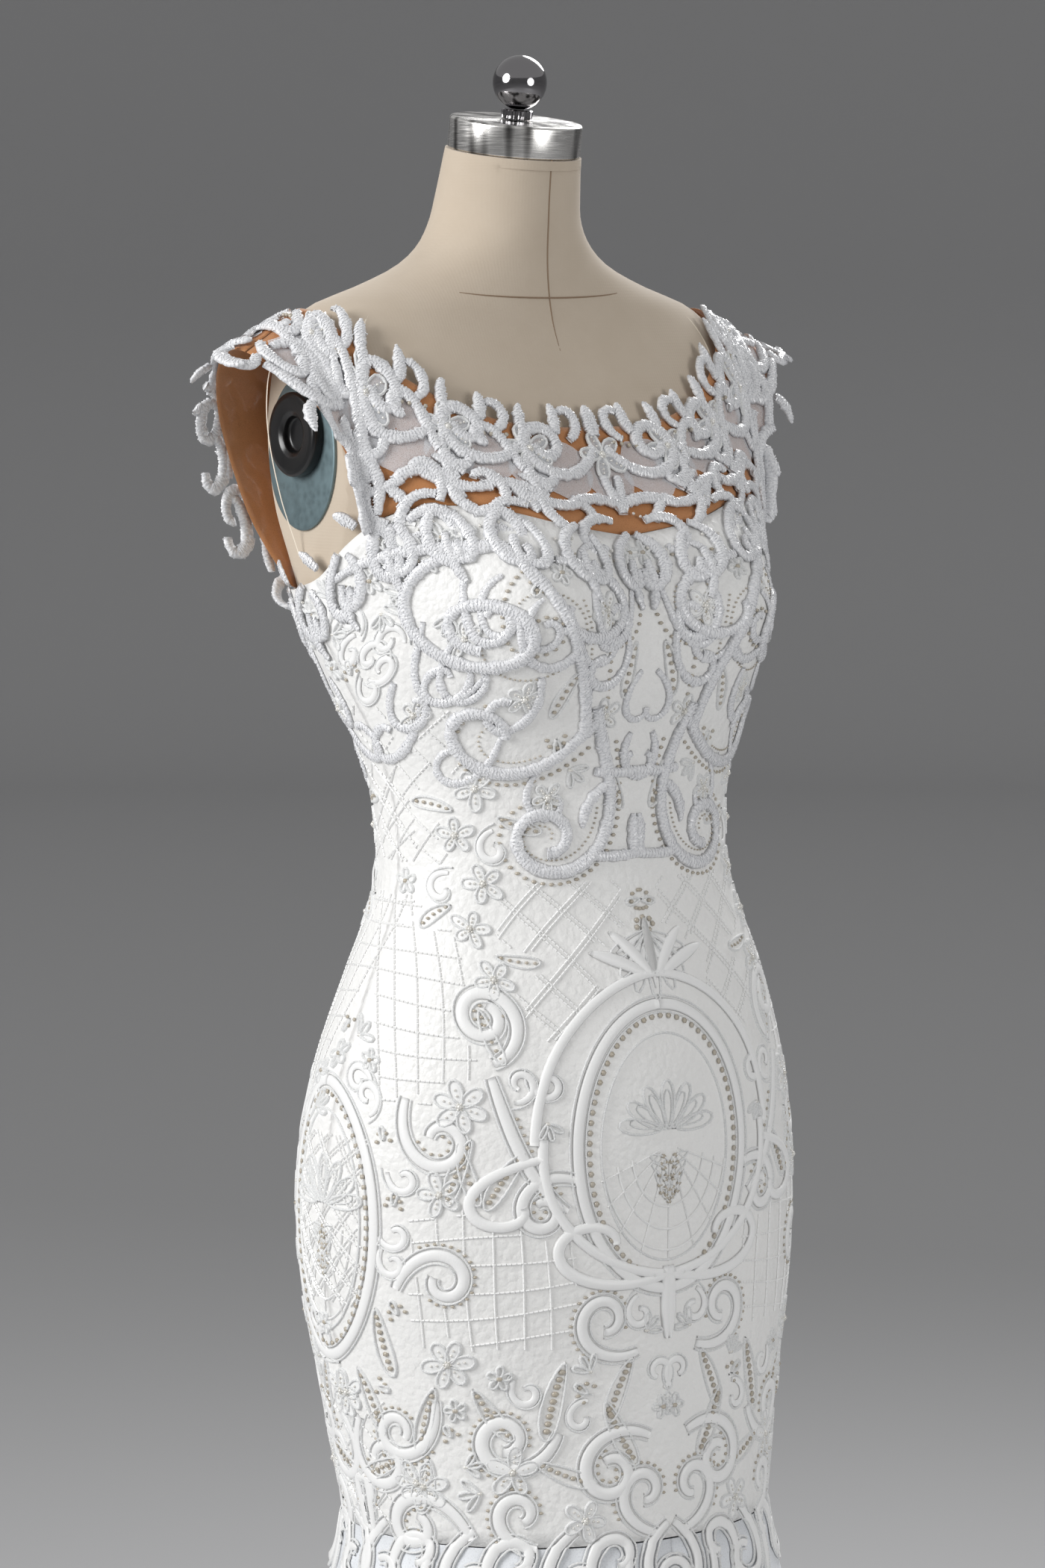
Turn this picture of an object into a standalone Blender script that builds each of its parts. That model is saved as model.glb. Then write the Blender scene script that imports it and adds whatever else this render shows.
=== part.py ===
"""A fitted lace wedding dress on a limbless dress form with a steel neck cap, ball finial and round stand.

Tables and sizes are in millimetres and become metres where a mesh is made. The figure faces -Y, its left
side is +X, and the origin lies under the stand's pole, at floor level.
"""

import math
from collections import Counter, namedtuple

import bmesh
import bpy
from mathutils import Matrix, Vector
from mathutils.bvhtree import BVHTree
from mathutils.geometry import delaunay_2d_cdt

MM = 0.001

# Heights above the floor
FORM_BOTTOM = 790.0
NECK_TOP = 1516.0
SHEATH_HEM = 652.0
FLOUNCE_TOP = SHEATH_HEM - 0.9
HEM = 4.0
WAIST = 1080.0

# Cloth walls and the gaps between pieces
FORM_INSET = 2.0
CLOTH_CLEARANCE = 1.6
SATIN_THICK = 2.0
NET_THICK = 1.0
LACE_THICK = 2.0
FLOUNCE_THICK = 2.0
SEAM_GAP = 0.4
YOKE_SEAM_GAP = 0.7
FLOUNCE_SEAM_GAP = 0.8
YOKE_EASE = 1.4
BODICE_APPLIQUE_LIFT, HIP_APPLIQUE_LIFT = 1.65, 0.8
LACE_LIFT = 1.3
LACE_WELD = 0.25
CELL = 15.0

# How finely the surfaces are divided
FRONT_COLUMNS, BACK_COLUMNS = 24, 10
SHEATH_ROWS, SHEATH_SPREAD = 15, 1.35
FORM_COLUMNS, FORM_ROWS = 32, 12
YOKE_COLUMNS = 40
YOKE_BACK_COLUMNS = 16
YOKE_ROWS = 3
FLOUNCE_ROWS = 5
POINTS_PER_FLUTE = 4
STROKE_STEP, STROKE_TURN = 18.0, 52.0
SHORT_STROKE = 26.0
ROUND_STEPS, SMALL_ROUND_STEPS, BUTTON_STEPS = 28, 18, 10
SHARP_ANGLE = 40.0

# The form's bust, which the front of the dress follows
BUST_HEIGHT = 1232.0
BUST_SIDE = 78.0
BUST_RISE = 33.0
BUST_SPREAD_IN, BUST_SPREAD_OUT = 68.0, 44.0
BUST_SPREAD_UP, BUST_SPREAD_DOWN = 62.0, 43.0
BUST_TURNED_OUT = 0.22

# A point inside the body, which every piece of lace faces away from
INSIDE = Vector((0, 30, 1200))

# Where the form is cut off for its arm plates
ARM_CUT = 157.0
ARM_PLATE_CENTRE = (43.0, 1327.0)
ARM_PLATE_HALF = (38.0, 48.0)
ARM_PLATE_THICK = 2.0
SOCKET_RADIUS, SOCKET_BORE, SOCKET_THICK = 26.5, 11.0, 8.0
SOCKET_RISE = 12.0

# The neck cap, tipped forward with the neck
NECK_TILT = math.radians(8.9)
NECK_CENTRE_Y = 39.5
CAP_RADIUS, CAP_HEIGHT, CAP_EDGE = 42.5, 20.5, 1.2
COLLAR_RADIUS, COLLAR_HEIGHT = 9.8, 6.5
BALL_RADIUS = 17.3
BALL_BANDS = 10

# The stand
POLE_RADIUS = 16.0
BASE_RADIUS, BASE_HEIGHT, BASE_CROWN = 185.0, 9.0, 7.0
FLANGE_RADIUS, FLANGE_THICK = 60.0, 6.0
BOSS_RADIUS, BOSS_HEIGHT = 26.0, 34.0

# The flounce, a flared skirt of flutes under the fitted part
HEM_RADIUS = 470.0
FLUTES = 16
FLUTE_DEPTH = 30.0

# Covered buttons down the centre back
BUTTONS = 9
BUTTON_TOP, BUTTON_PITCH = 1224.0, 28.0
BUTTON_RADIUS, BUTTON_RISE = 6.0, 4.6
BUTTON_LIFT = 0.6

# Cross-sections of the body, bottom to top. side_y is where the section is widest.
Ring = namedtuple("Ring", "z half_width front_y back_y side_y power")
BODY = [
    Ring(600, 131, -130, 113, -8, 2.0),
    Ring(650, 138.5, -129, 113, -7, 2.0),
    Ring(700, 146.5, -127, 116, -4, 2.0),
    Ring(750, 156, -125.5, 122, 0, 2.0),
    Ring(800, 164, -125.5, 126, 3, 2.05),
    Ring(852, 167, -126, 128, 4, 2.05),
    Ring(900, 163.5, -126, 126, 3, 2.05),
    Ring(950, 153.5, -122, 116, 0, 2.05),
    Ring(1000, 137.5, -111, 100, -5, 2.05),
    Ring(1045, 121, -96, 88, -6, 2.05),
    Ring(1080, 115.5, -91, 87, -4, 2.05),
    Ring(1120, 118.5, -91, 92, 0, 2.05),
    Ring(1150, 127.5, -95, 99, 5, 2.1),
    Ring(1180, 139, -101, 109, 15, 2.1),
    Ring(1210, 149, -97, 116, 26, 2.15),
    Ring(1237, 155.5, -91, 120, 35, 2.2),
    Ring(1270, 164, -80, 121, 41, 2.25),
    Ring(1300, 172, -64, 120, 46, 2.3),
    Ring(1340, 178.5, -41, 117, 50, 2.35),
    Ring(1370, 178, -25, 110, 52, 2.3),
    Ring(1390, 172, -14, 106, 53, 2.2),
    Ring(1405, 162, -7, 104, 53, 2.05),
    Ring(1419, 144, -3, 103, 53, 1.85),
    Ring(1431, 110, -1, 103, 53, 1.75),
    Ring(1443, 80, 0, 102, 52, 1.85),
    Ring(1456, 61, 0, 101, 51, 2.0),
    Ring(1472, 51, -1, 100, 49.5, 2.0),
    Ring(1488, 48.5, -2, 95, 46.5, 2.0),
    Ring(1520, 45.5, -5.5, 85, 40, 2.0),
]

# The upper edge of the opaque part, by its turn from the centre front
EdgePoint = namedtuple("EdgePoint", "turn z")
BODICE_TOP = [
    EdgePoint(0, 1275),
    EdgePoint(14, 1283),
    EdgePoint(28, 1293),
    EdgePoint(42, 1295),
    EdgePoint(56, 1288),
    EdgePoint(70, 1272),
    EdgePoint(84, 1251),
    EdgePoint(98, 1243),
    EdgePoint(122, 1241),
    EdgePoint(150, 1240),
    EdgePoint(180, 1238),
]

# The sheer yoke from centre front over the shoulder to centre back: its neckline, and its outer edge,
# which is sewn to the bodice where seam_turn is given and is the free armhole edge elsewhere.
Station = namedtuple("Station", "neck_x neck_y neck_z seam_turn edge_x edge_y edge_z")
YOKE = [
    Station(0, -41, 1341, 0, None, None, None),
    Station(30, -40, 1342, 10, None, None, None),
    Station(60, -35, 1345, 21, None, None, None),
    Station(90, -23, 1355, 33, None, None, None),
    Station(114, -8, 1370, 46, None, None, None),
    Station(132, 8, 1386, 59, None, None, None),
    Station(141, 20, 1398, None, 155, -16, 1302),
    Station(146, 31, 1406, None, 163, -10, 1332),
    Station(149, 42, 1411, None, 178, 4, 1362),
    Station(150, 53, 1413, None, 200, 42, 1390),
    Station(147, 66, 1409, None, 200, 72, 1384),
    Station(140, 84, 1393, None, 189, 93, 1356),
    Station(126, 100, 1362, None, 175, 100, 1320),
    Station(106, 111, 1328, None, 161, 94, 1279),
    Station(80, 118, 1300, 118, None, None, None),
    Station(52, 121, 1283, 134, None, None, None),
    Station(26, 122, 1273, 154, None, None, None),
    Station(1, 122, 1269, 179.2, None, None, None),
]
SHOULDER_STATION = 9
YOKE_SLIT = 0.02

# Strokes of corded lace, drawn flat. along runs from the centre front or back to the side, across runs
# down, a heading of 0 points along and 90 down, and a bend is in degrees for each millimetre.
Stroke = namedtuple("Stroke", "along across heading length bend bend_end start_width width end_width")

# One repeat of the lace border, measured from the neckline edge
BORDER_PITCH = 70.0
BORDER_DEPTH = 72.0
BORDER_END = 26.0
BORDER = [
    Stroke(5, 14, 62, 138, -1.1, -7.2, 5.5, 10, 8),
    Stroke(60, 36, -50, 60, -1.8, 13.5, 7, 8, 6),
    Stroke(32, 6, -112, 22, 1.7, 1.7, 6, 9, 1.8),
    Stroke(1, 7, -74, 22, -1.7, -1.7, 6, 8.5, 1.8),
    Stroke(-4, 56, -30, 42, 1.5, 1.5, 7, 8, 7),
    Stroke(30, 56, 25, 46, -1.5, -1.0, 7, 8, 7),
    Stroke(0, 60, -88, 26, 1.7, -2.5, 6, 7.5, 6),
]
FLOWER_ACROSS = 20.0
PETALS, PETAL_LENGTH, PETAL_TURN = 5, 17.0, 38.0

# Half of the thick corded applique on the bodice, measured from the centre front and down from its top
APPLIQUE_TOP = 1284.0
PANEL_STRETCH = 1.1
BODICE_APPLIQUE = [
    Stroke(62, 8, 120, 126, -0.32, -0.1, 7, 9, 8),
    Stroke(28, 110, 100, 222, 0.2, -5.3, 8, 9, 7),
    Stroke(57, 13, 2, 216, 0.9, 4.6, 7, 9, 7),
    Stroke(26, 118, 52, 150, -0.2, -5.2, 7, 8.5, 6),
    Stroke(40, 22, 172, 96, -1.4, -5.4, 6, 8, 6),
    Stroke(62, 12, 2, 84, 0.25, 0.7, 6, 8, 3),
    Stroke(-4, 152, 8, 32, -0.5, -0.5, 6, 7, 6),
    Stroke(19, 160, 30, 34, 1.5, 2.5, 5, 8, 2),
    Stroke(-2, 206, -90, 26, 0, 0, 5, 9, 3),
    Stroke(-4, 204, 12, 38, -0.6, -0.6, 6, 7, 5),
]
HIP_APPLIQUE = [
    Stroke(-2, 279, 2, 132, 1.1, 0.05, 6, 7, 7),
    Stroke(57, 376, 88, 124, 0.4, 1.3, 7, 7, 6),
    Stroke(0, 280, -90, 34, 0, 0, 5, 9, 2),
    Stroke(2, 280, -62, 34, 0.6, 0.6, 5, 9, 2),
    Stroke(5, 280, -36, 34, 0.6, 0.6, 5, 9, 2),
    Stroke(-3, 464, 22, 106, -0.6, -5.9, 5, 8, 6),
    Stroke(57, 388, 20, 80, 0.5, 7.5, 5, 8, 6),
    Stroke(-1, 460, 90, 46, 0, 0, 5, 9, 2),
]


def clear_scene():
    for old in list(bpy.data.objects):
        bpy.data.objects.remove(old, do_unlink=True)


def make_material(name, colour, roughness, metallic=0.0):
    material = bpy.data.materials.new(name)
    material.use_nodes = True
    shader = material.node_tree.nodes["Principled BSDF"]
    shader.inputs["Base Color"].default_value = (*colour, 1.0)
    shader.inputs["Roughness"].default_value = roughness
    shader.inputs["Metallic"].default_value = metallic
    return material


def curve_value(places, values, at):
    """The value at a place on the smooth curve through a column of a table."""
    last = len(places) - 1
    i = max(0, min(last - 1, sum(p <= at for p in places) - 1))
    step = places[i + 1] - places[i]
    share = max(0.0, min(1.0, (at - places[i]) / step))

    def slope(k):
        low, high = max(k - 1, 0), min(k + 1, last)
        return (values[high] - values[low]) / (places[high] - places[low])

    a, b = share * share * (3 - 2 * share), share * (1 - share)
    bend = b * ((1 - share) * slope(i) - share * slope(i + 1)) * step
    return values[i] * (1 - a) + values[i + 1] * a + bend


def ring_at(z):
    places = [row.z for row in BODY]
    return Ring(z, *[curve_value(places, [row[k] for row in BODY], z) for k in range(1, 6)])


def power_of(value, power):
    return math.copysign(abs(value) ** power, value)


def body_point(turn, z):
    """A point of the body at a turn in degrees from the centre front towards the figure's left."""
    ring = ring_at(z)
    sine, cosine = math.sin(math.radians(turn)), math.cos(math.radians(turn))
    x = ring.half_width * power_of(sine, 2 / ring.power)
    reach = ring.side_y - ring.front_y if cosine > 0 else ring.back_y - ring.side_y
    y = ring.side_y - reach * power_of(cosine, 2 / ring.power)
    if cosine > 0:
        across = abs(x) - BUST_SIDE
        spread = BUST_SPREAD_OUT if across > 0 else BUST_SPREAD_IN
        up = z - BUST_HEIGHT
        reach_up = BUST_SPREAD_UP if up > 0 else BUST_SPREAD_DOWN
        rise = BUST_RISE * math.exp(-((across / spread) ** 2) - (up / reach_up) ** 2) * cosine ** 0.5
        x += math.copysign(BUST_TURNED_OUT * rise, x) if abs(x) > 1e-6 else 0.0
        y -= rise
    return Vector((x, y, z))


def body_normal(turn, z):
    across = body_point(turn + 0.5, z) - body_point(turn - 0.5, z)
    up = body_point(turn, z + 0.5) - body_point(turn, z - 0.5)
    return across.cross(up).normalized()


def off_body(turn, z, distance):
    return body_point(turn, z) + body_normal(turn, z) * distance


def body_tree():
    """A fine model of the body, to lay the yoke on."""
    turns = [3.0 * i for i in range(120)]
    heights = [1200.0 + 4.0 * k for k in range(70)]
    points = [body_point(turn, z) for z in heights for turn in turns]
    faces = []
    for k in range(len(heights) - 1):
        for i in range(120):
            j = (i + 1) % 120
            faces.append((k * 120 + i, k * 120 + j, (k + 1) * 120 + j, (k + 1) * 120 + i))
    return BVHTree.FromPolygons(points, faces)


def pushed_off(point, tree, distance):
    """The point itself, or the nearest one that lies this far off the body."""
    place, normal, _, _ = tree.find_nearest(point)
    depth = (point - place).dot(normal)
    return place + normal * distance if depth < distance else point


class Sheet:
    """Rows of points, each from the sheet's first side to its last, top row first."""

    def __init__(self, rows):
        self.rows = rows
        self.last_row, self.last_column = len(rows) - 1, len(rows[0]) - 1
        self.normals = [[self.corner_normal(i, k) for i in range(len(rows[0]))] for k in range(len(rows))]
        self.reach = [0.0]
        middle = rows[self.last_row // 2]
        for a, b in zip(middle, middle[1:]):
            self.reach.append(self.reach[-1] + (b - a).length)

    def corner_normal(self, i, k):
        before, after = max(i - 1, 0), min(i + 1, self.last_column)
        above, below = max(k - 1, 0), min(k + 1, self.last_row)
        across = self.rows[k][after] - self.rows[k][before]
        down = self.rows[below][i] - self.rows[above][i]
        return down.cross(across).normalized()

    def blend(self, table, column, row):
        """A value between four corners of the sheet, or past its edge along its last cell."""
        i = max(0, min(self.last_column - 1, math.floor(column)))
        k = max(0, min(self.last_row - 1, math.floor(row)))
        a = table[k][i].lerp(table[k][i + 1], column - i)
        b = table[k + 1][i].lerp(table[k + 1][i + 1], column - i)
        return a.lerp(b, row - k)

    def off(self, column, row, lift):
        inside = max(0.0, min(self.last_column, column)), max(0.0, min(self.last_row, row))
        return self.blend(self.rows, column, row) + self.blend(self.normals, *inside) * lift

    def column_at(self, along):
        """The column this far along the sheet's middle row, in millimetres from its first side."""
        i = max(0, min(self.last_column - 1, sum(r <= along for r in self.reach) - 1))
        return i + (along - self.reach[i]) / (self.reach[i + 1] - self.reach[i])


def new_object(name, mesh, material, collection):
    mesh.materials.append(material)
    mesh.shade_smooth()
    mesh.set_sharp_from_angle(angle=math.radians(SHARP_ANGLE))
    made = bpy.data.objects.new(name, mesh)
    collection.objects.link(made)
    return made


def finish_mesh(name, bm, material, collection, turn_out=False):
    if turn_out:
        bmesh.ops.recalc_face_normals(bm, faces=bm.faces[:])
    bmesh.ops.scale(bm, vec=(MM, MM, MM), verts=bm.verts[:])
    mesh = bpy.data.meshes.new(name)
    bm.to_mesh(mesh)
    bm.free()
    return new_object(name, mesh, material, collection)


def wall(name, sheet, thick, material, collection, grows=1.0):
    """A sheet of cloth with thickness on its outer side, or on its inner side where grows is -1."""
    bm = bmesh.new()
    grid = [[bm.verts.new(p) for p in row] for row in sheet.rows]
    for above, below in zip(grid, grid[1:]):
        for i in range(len(above) - 1):
            bm.faces.new((above[i], below[i], below[i + 1], above[i + 1]))
    made = finish_mesh(name, bm, material, collection)
    thicken(made, thick, grows)
    return made


def thicken(made, thick, grows=1.0):
    solid = made.modifiers.new("Thickness", "SOLIDIFY")
    solid.thickness = thick * MM
    solid.offset = grows
    solid.use_even_offset = False


def ribbon(stroke):
    """The two edges of a stroke, as flat points."""
    along, across, heading = stroke.along, stroke.across, math.radians(stroke.heading)
    left, right = [], []
    gone = 0.0
    while True:
        share = min(1.0, gone / stroke.length)
        ends = stroke.start_width if share < 0.5 else stroke.end_width
        half = (ends + (stroke.width - ends) * max(0.0, math.sin(math.pi * share)) ** 0.7) / 2
        left.append((along + math.sin(heading) * half, across - math.cos(heading) * half))
        right.append((along - math.sin(heading) * half, across + math.cos(heading) * half))
        rest = stroke.length - gone
        if rest < 0.01:
            return left, right
        bend = stroke.bend + (stroke.bend_end - stroke.bend) * share ** 1.4
        fewest = 2 if stroke.length < SHORT_STROKE else 3
        step = min(STROKE_STEP, stroke.length / fewest, STROKE_TURN / max(abs(bend), 0.1))
        step = rest if rest < step * 1.5 else step
        middle = (gone + step / 2) / stroke.length
        turn = math.radians(stroke.bend + (stroke.bend_end - stroke.bend) * middle ** 1.4) * step
        heading += turn / 2
        along += math.cos(heading) * step
        across += math.sin(heading) * step
        heading += turn / 2
        gone += step


def lace(name, strokes, flatten, lay, folds, thick, material, collection):
    """Strokes joined flat into one piece with its gaps cut through, then laid on a sheet.

    flatten turns a stroke's point into one in the sheet's own columns and rows, and lay puts that on the sheet.
    """
    points, faces = [], []
    for stroke, shift, flip in strokes:
        left, right = ribbon(stroke)
        first = len(points)
        for a, b in zip(left, right):
            points.append(flatten(flip * (a[0] + shift), a[1]) * CELL)
            points.append(flatten(flip * (b[0] + shift), b[1]) * CELL)
        for k in range(first, len(points) - 2, 2):
            faces.append((k, k + 1, k + 3, k + 2))
    bm = joined_flat(points, faces, folds)
    part_pinches(bm)
    for vert in bm.verts:
        vert.co = lay(vert.co.x / CELL, vert.co.y / CELL)
    bmesh.ops.recalc_face_normals(bm, faces=bm.faces[:])
    outwards = sum((f.normal.dot(f.calc_center_median() - INSIDE) for f in bm.faces))
    if outwards < 0:
        bmesh.ops.reverse_faces(bm, faces=bm.faces[:])
    made = finish_mesh(name, bm, material, collection)
    thicken(made, thick)
    return made


def joined_flat(points, faces, folds):
    """One flat mesh of what the faces cover, with corners along its outline and where it crosses a fold."""
    cover = BVHTree.FromPolygons([p.to_3d() for p in points], faces)
    above = Vector((0, 0, 1))

    def divided(corners, edges):
        """The covered cells between edges drawn on the flat."""
        corners, _, cells, *_ = delaunay_2d_cdt(corners, edges, [], 0, LACE_WELD)
        kept = []
        for cell in cells:
            middle = sum((corners[i] for i in cell), Vector((0, 0))) / len(cell)
            if cover.ray_cast(middle.to_3d() + above, -above)[0] is not None:
                kept.append(cell)
        return corners, kept

    flat, cells = divided(points, [edge for face in faces for edge in zip(face, face[1:] + face[:1])])
    uses = Counter(frozenset(edge) for cell in cells for edge in zip(cell, cell[1:] + cell[:1]))
    outline = [tuple(edge) for edge, count in uses.items() if count == 1]
    order = {i: k for k, i in enumerate(sorted({i for edge in outline for i in edge}))}
    corners = [flat[i] for i in order]
    outline = [(order[a], order[b]) for a, b in outline]
    for start, end in folds:
        outline.append((len(corners), len(corners) + 1))
        corners += [Vector(start), Vector(end)]
    corners, cells = divided(corners, outline)
    bm = bmesh.new()
    verts = [bm.verts.new((p.x, p.y, 0)) for p in corners]
    for cell in cells:
        bm.faces.new([verts[i] for i in cell])
    bmesh.ops.delete(bm, geom=[v for v in verts if not v.link_faces], context="VERTS")
    return bm


def part_pinches(bm):
    """Gives each fan of faces its own corner where two strokes touch at one point only."""
    for vert in list(bm.verts):
        waiting = set(vert.link_faces)
        fans = []
        while waiting:
            fan, edge_on = set(), [waiting.pop()]
            while edge_on:
                face = edge_on.pop()
                fan.add(face)
                for edge in face.edges:
                    if vert in edge.verts:
                        near = [f for f in edge.link_faces if f in waiting]
                        waiting.difference_update(near)
                        edge_on += near
            fans.append(fan)
        for fan in fans[1:]:
            middle = sum((f.calc_center_median() for f in fan), Vector()) / len(fan)
            corner = bm.verts.new(vert.co.lerp(middle, 0.15))
            for face in fan:
                bm.faces.new([corner if v == vert else v for v in face.verts])
            bmesh.ops.delete(bm, geom=list(fan), context="FACES")


def border_strokes(length, flip, shift=0.0):
    """Repeats of the border along a length, closed up a little so that they end where the cloth ends."""
    count = math.ceil(length / BORDER_PITCH)
    pitch = length / count
    strokes = []
    for n in range(count + 1):
        for stroke in BORDER:
            if n < count - 1 or n < count and stroke.along < pitch / 2:
                strokes.append((stroke, shift + n * pitch, flip))
        for k in range(PETALS):
            turn = PETAL_TURN + 360 * k / PETALS
            petal = Stroke(0, FLOWER_ACROSS, turn, PETAL_LENGTH, 0, 0, 5, 11, 5)
            strokes.append((petal, shift + n * pitch, flip))
    return strokes


# The dress form

def make_form(material, collection):
    """The padded torso, from its flat bottom to its tipped neck top, cut flat for the arm plates."""
    turns = [360.0 * i / FORM_COLUMNS for i in range(FORM_COLUMNS)]
    lower = [FORM_BOTTOM + (1270 - FORM_BOTTOM) * k / (FORM_ROWS - 1) for k in range(FORM_ROWS)]
    upper = [row.z for row in BODY if 1270 < row.z]
    bm = bmesh.new()
    rings = []
    for z in lower + upper:
        rings.append([bm.verts.new(off_body(turn, z, -FORM_INSET)) for turn in turns])
        for vert in rings[-1]:
            vert.co.z = z
    for vert in rings[-1]:
        vert.co.z = NECK_TOP + (vert.co.y - NECK_CENTRE_Y) * math.tan(NECK_TILT)
    for below, above in zip(rings, rings[1:]):
        for i in range(len(turns)):
            j = (i + 1) % len(turns)
            bm.faces.new((below[i], below[j], above[j], above[i]))
    bm.faces.new(rings[0][::-1])
    bm.faces.new(rings[-1])
    for side in (1, -1):
        cut_plane(bm, Vector((side * ARM_CUT, 0, 0)), Vector((side, 0, 0)))
    return finish_mesh("form_torso", bm, material, collection)


def cut_plane(bm, place, outwards):
    """Cuts away what lies beyond a plane and closes the cut with a flat face."""
    everything = bm.verts[:] + bm.edges[:] + bm.faces[:]
    cut = bmesh.ops.bisect_plane(
        bm, geom=everything, plane_co=place, plane_no=outwards, clear_outer=True, dist=1e-4
    )
    edges = [e for e in cut["geom_cut"] if isinstance(e, bmesh.types.BMEdge)]
    bmesh.ops.contextual_create(bm, geom=edges)


def turned(name, profile, steps, material, collection, place=None):
    """A turned piece from (radius, height) pairs, listed down its outer side from the top."""
    bm = bmesh.new()
    points = [bm.verts.new((radius, 0, height)) for radius, height in profile]
    for a, b in zip(points, points[1:]):
        bm.edges.new((a, b))
    made = finish_mesh(name, bm, material, collection)
    screw = made.modifiers.new("Turned", "SCREW")
    screw.steps = screw.render_steps = steps
    screw.use_merge_vertices = True
    screw.merge_threshold = 0.00005
    if place is not None:
        made.matrix_world = place
    return made


def neck_place(height):
    """The place and tilt of a piece this far up the neck's own axis from the neck's top."""
    base = Vector((0, NECK_CENTRE_Y, NECK_TOP)) * MM
    axis = Vector((0, -math.sin(NECK_TILT), math.cos(NECK_TILT)))
    return Matrix.Translation(base + axis * height * MM) @ Matrix.Rotation(NECK_TILT, 4, "X")


def make_neck_cap(steel, collection):
    cap = [
        (0, CAP_HEIGHT),
        (CAP_RADIUS - CAP_EDGE, CAP_HEIGHT),
        (CAP_RADIUS, CAP_HEIGHT - CAP_EDGE),
        (CAP_RADIUS, 0),
        (0, 0),
    ]
    turned("neck_cap", cap, ROUND_STEPS, steel, collection, neck_place(0.3))
    top = 0.3 + CAP_HEIGHT
    collar = [(0, COLLAR_HEIGHT), (COLLAR_RADIUS, COLLAR_HEIGHT), (COLLAR_RADIUS, 0), (0, 0)]
    turned("finial_collar", collar, SMALL_ROUND_STEPS, steel, collection, neck_place(top + 0.3))
    start = math.acos(0.5 * COLLAR_RADIUS / BALL_RADIUS)
    foot = -BALL_RADIUS * math.sin(start)
    ball = []
    for k in range(BALL_BANDS + 1):
        angle = math.pi / 2 - (math.pi / 2 + start) * k / BALL_BANDS
        ball.append((BALL_RADIUS * math.cos(angle) if k else 0.0, BALL_RADIUS * math.sin(angle) - foot))
    ball.append((0.0, 0.0))
    turned("finial_ball", ball, SMALL_ROUND_STEPS, steel, collection, neck_place(top + COLLAR_HEIGHT + 0.6))


def make_arm_plate(side, plate_finish, socket_finish, collection):
    """An oval steel plate over the cut arm, and the black ring that an arm hooks into."""
    name = "left" if side > 0 else "right"
    y, z = ARM_PLATE_CENTRE
    facing = Matrix.Rotation(side * math.pi / 2, 4, "Y")
    place = Matrix.Translation(Vector((side * (ARM_CUT + 0.3), y, z)) * MM) @ facing
    bm = bmesh.new()
    bmesh.ops.create_cone(
        bm, cap_ends=True, segments=ROUND_STEPS, radius1=1, radius2=1, depth=ARM_PLATE_THICK
    )
    bmesh.ops.scale(bm, vec=(ARM_PLATE_HALF[1], ARM_PLATE_HALF[0], 1), verts=bm.verts[:])
    bmesh.ops.translate(bm, vec=(0, 0, ARM_PLATE_THICK / 2), verts=bm.verts[:])
    plate = finish_mesh(f"arm_plate_{name}", bm, plate_finish, collection)
    plate.matrix_world = place
    ring = [
        (SOCKET_BORE, SOCKET_THICK),
        (SOCKET_RADIUS - 1.5, SOCKET_THICK),
        (SOCKET_RADIUS, SOCKET_THICK - 1.5),
        (SOCKET_RADIUS, 0),
        (SOCKET_BORE, 0),
        (SOCKET_BORE, SOCKET_THICK),
    ]
    out = side * (ARM_CUT + ARM_PLATE_THICK + 0.6)
    lifted = Matrix.Translation(Vector((out, y, z + SOCKET_RISE)) * MM) @ facing
    turned(f"arm_socket_{name}", ring, SMALL_ROUND_STEPS, socket_finish, collection, lifted)


def make_stand(steel, collection):
    """A heavy round base, a pole, and the flange that carries the form."""
    top = BASE_HEIGHT + BASE_CROWN
    base = [
        (0, top + BOSS_HEIGHT),
        (BOSS_RADIUS - 2, top + BOSS_HEIGHT),
        (BOSS_RADIUS, top + BOSS_HEIGHT - 2),
        (BOSS_RADIUS, top),
        (BASE_RADIUS * 0.62, BASE_HEIGHT + BASE_CROWN * 0.62),
        (BASE_RADIUS - 3, BASE_HEIGHT),
        (BASE_RADIUS, BASE_HEIGHT - 3),
        (BASE_RADIUS, 0),
        (0, 0),
    ]
    turned("stand_base", base, ROUND_STEPS, steel, collection)
    foot = top + BOSS_HEIGHT + 0.3
    head = FORM_BOTTOM - FLANGE_THICK - 0.6
    pole = [(0, head), (POLE_RADIUS, head), (POLE_RADIUS, foot), (0, foot)]
    turned("stand_pole", pole, SMALL_ROUND_STEPS, steel, collection)
    head += 0.3
    flange = [(0, head + FLANGE_THICK), (FLANGE_RADIUS, head + FLANGE_THICK), (FLANGE_RADIUS, head), (0, head)]
    turned("stand_flange", flange, ROUND_STEPS, steel, collection)


# The dress

def bodice_top(turn):
    turn = abs(turn)
    return curve_value([row.turn for row in BODICE_TOP], [row.z for row in BODICE_TOP], turn)


def sheath_sheet(first_turn, last_turn, columns):
    """The fitted cloth between two turns, with its rows closer together towards the bust."""
    rows = []
    for k in range(SHEATH_ROWS + 1):
        row = []
        for i in range(columns + 1):
            turn = first_turn + (last_turn - first_turn) * i / columns
            top = bodice_top(turn)
            down = (k / SHEATH_ROWS) ** SHEATH_SPREAD
            row.append(off_body(turn, top + (SHEATH_HEM - top) * down, CLOTH_CLEARANCE))
        rows.append(row)
    return Sheet(rows)


def sheath_row(turn, z):
    """The row of the fitted cloth at a height."""
    top = bodice_top(turn)
    share = (top - z) / (top - SHEATH_HEM)
    return SHEATH_ROWS * math.copysign(abs(share) ** (1 / SHEATH_SPREAD), share)


def on_seam(turn):
    return off_body(turn, bodice_top(turn) + YOKE_SEAM_GAP, CLOTH_CLEARANCE)


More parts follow.
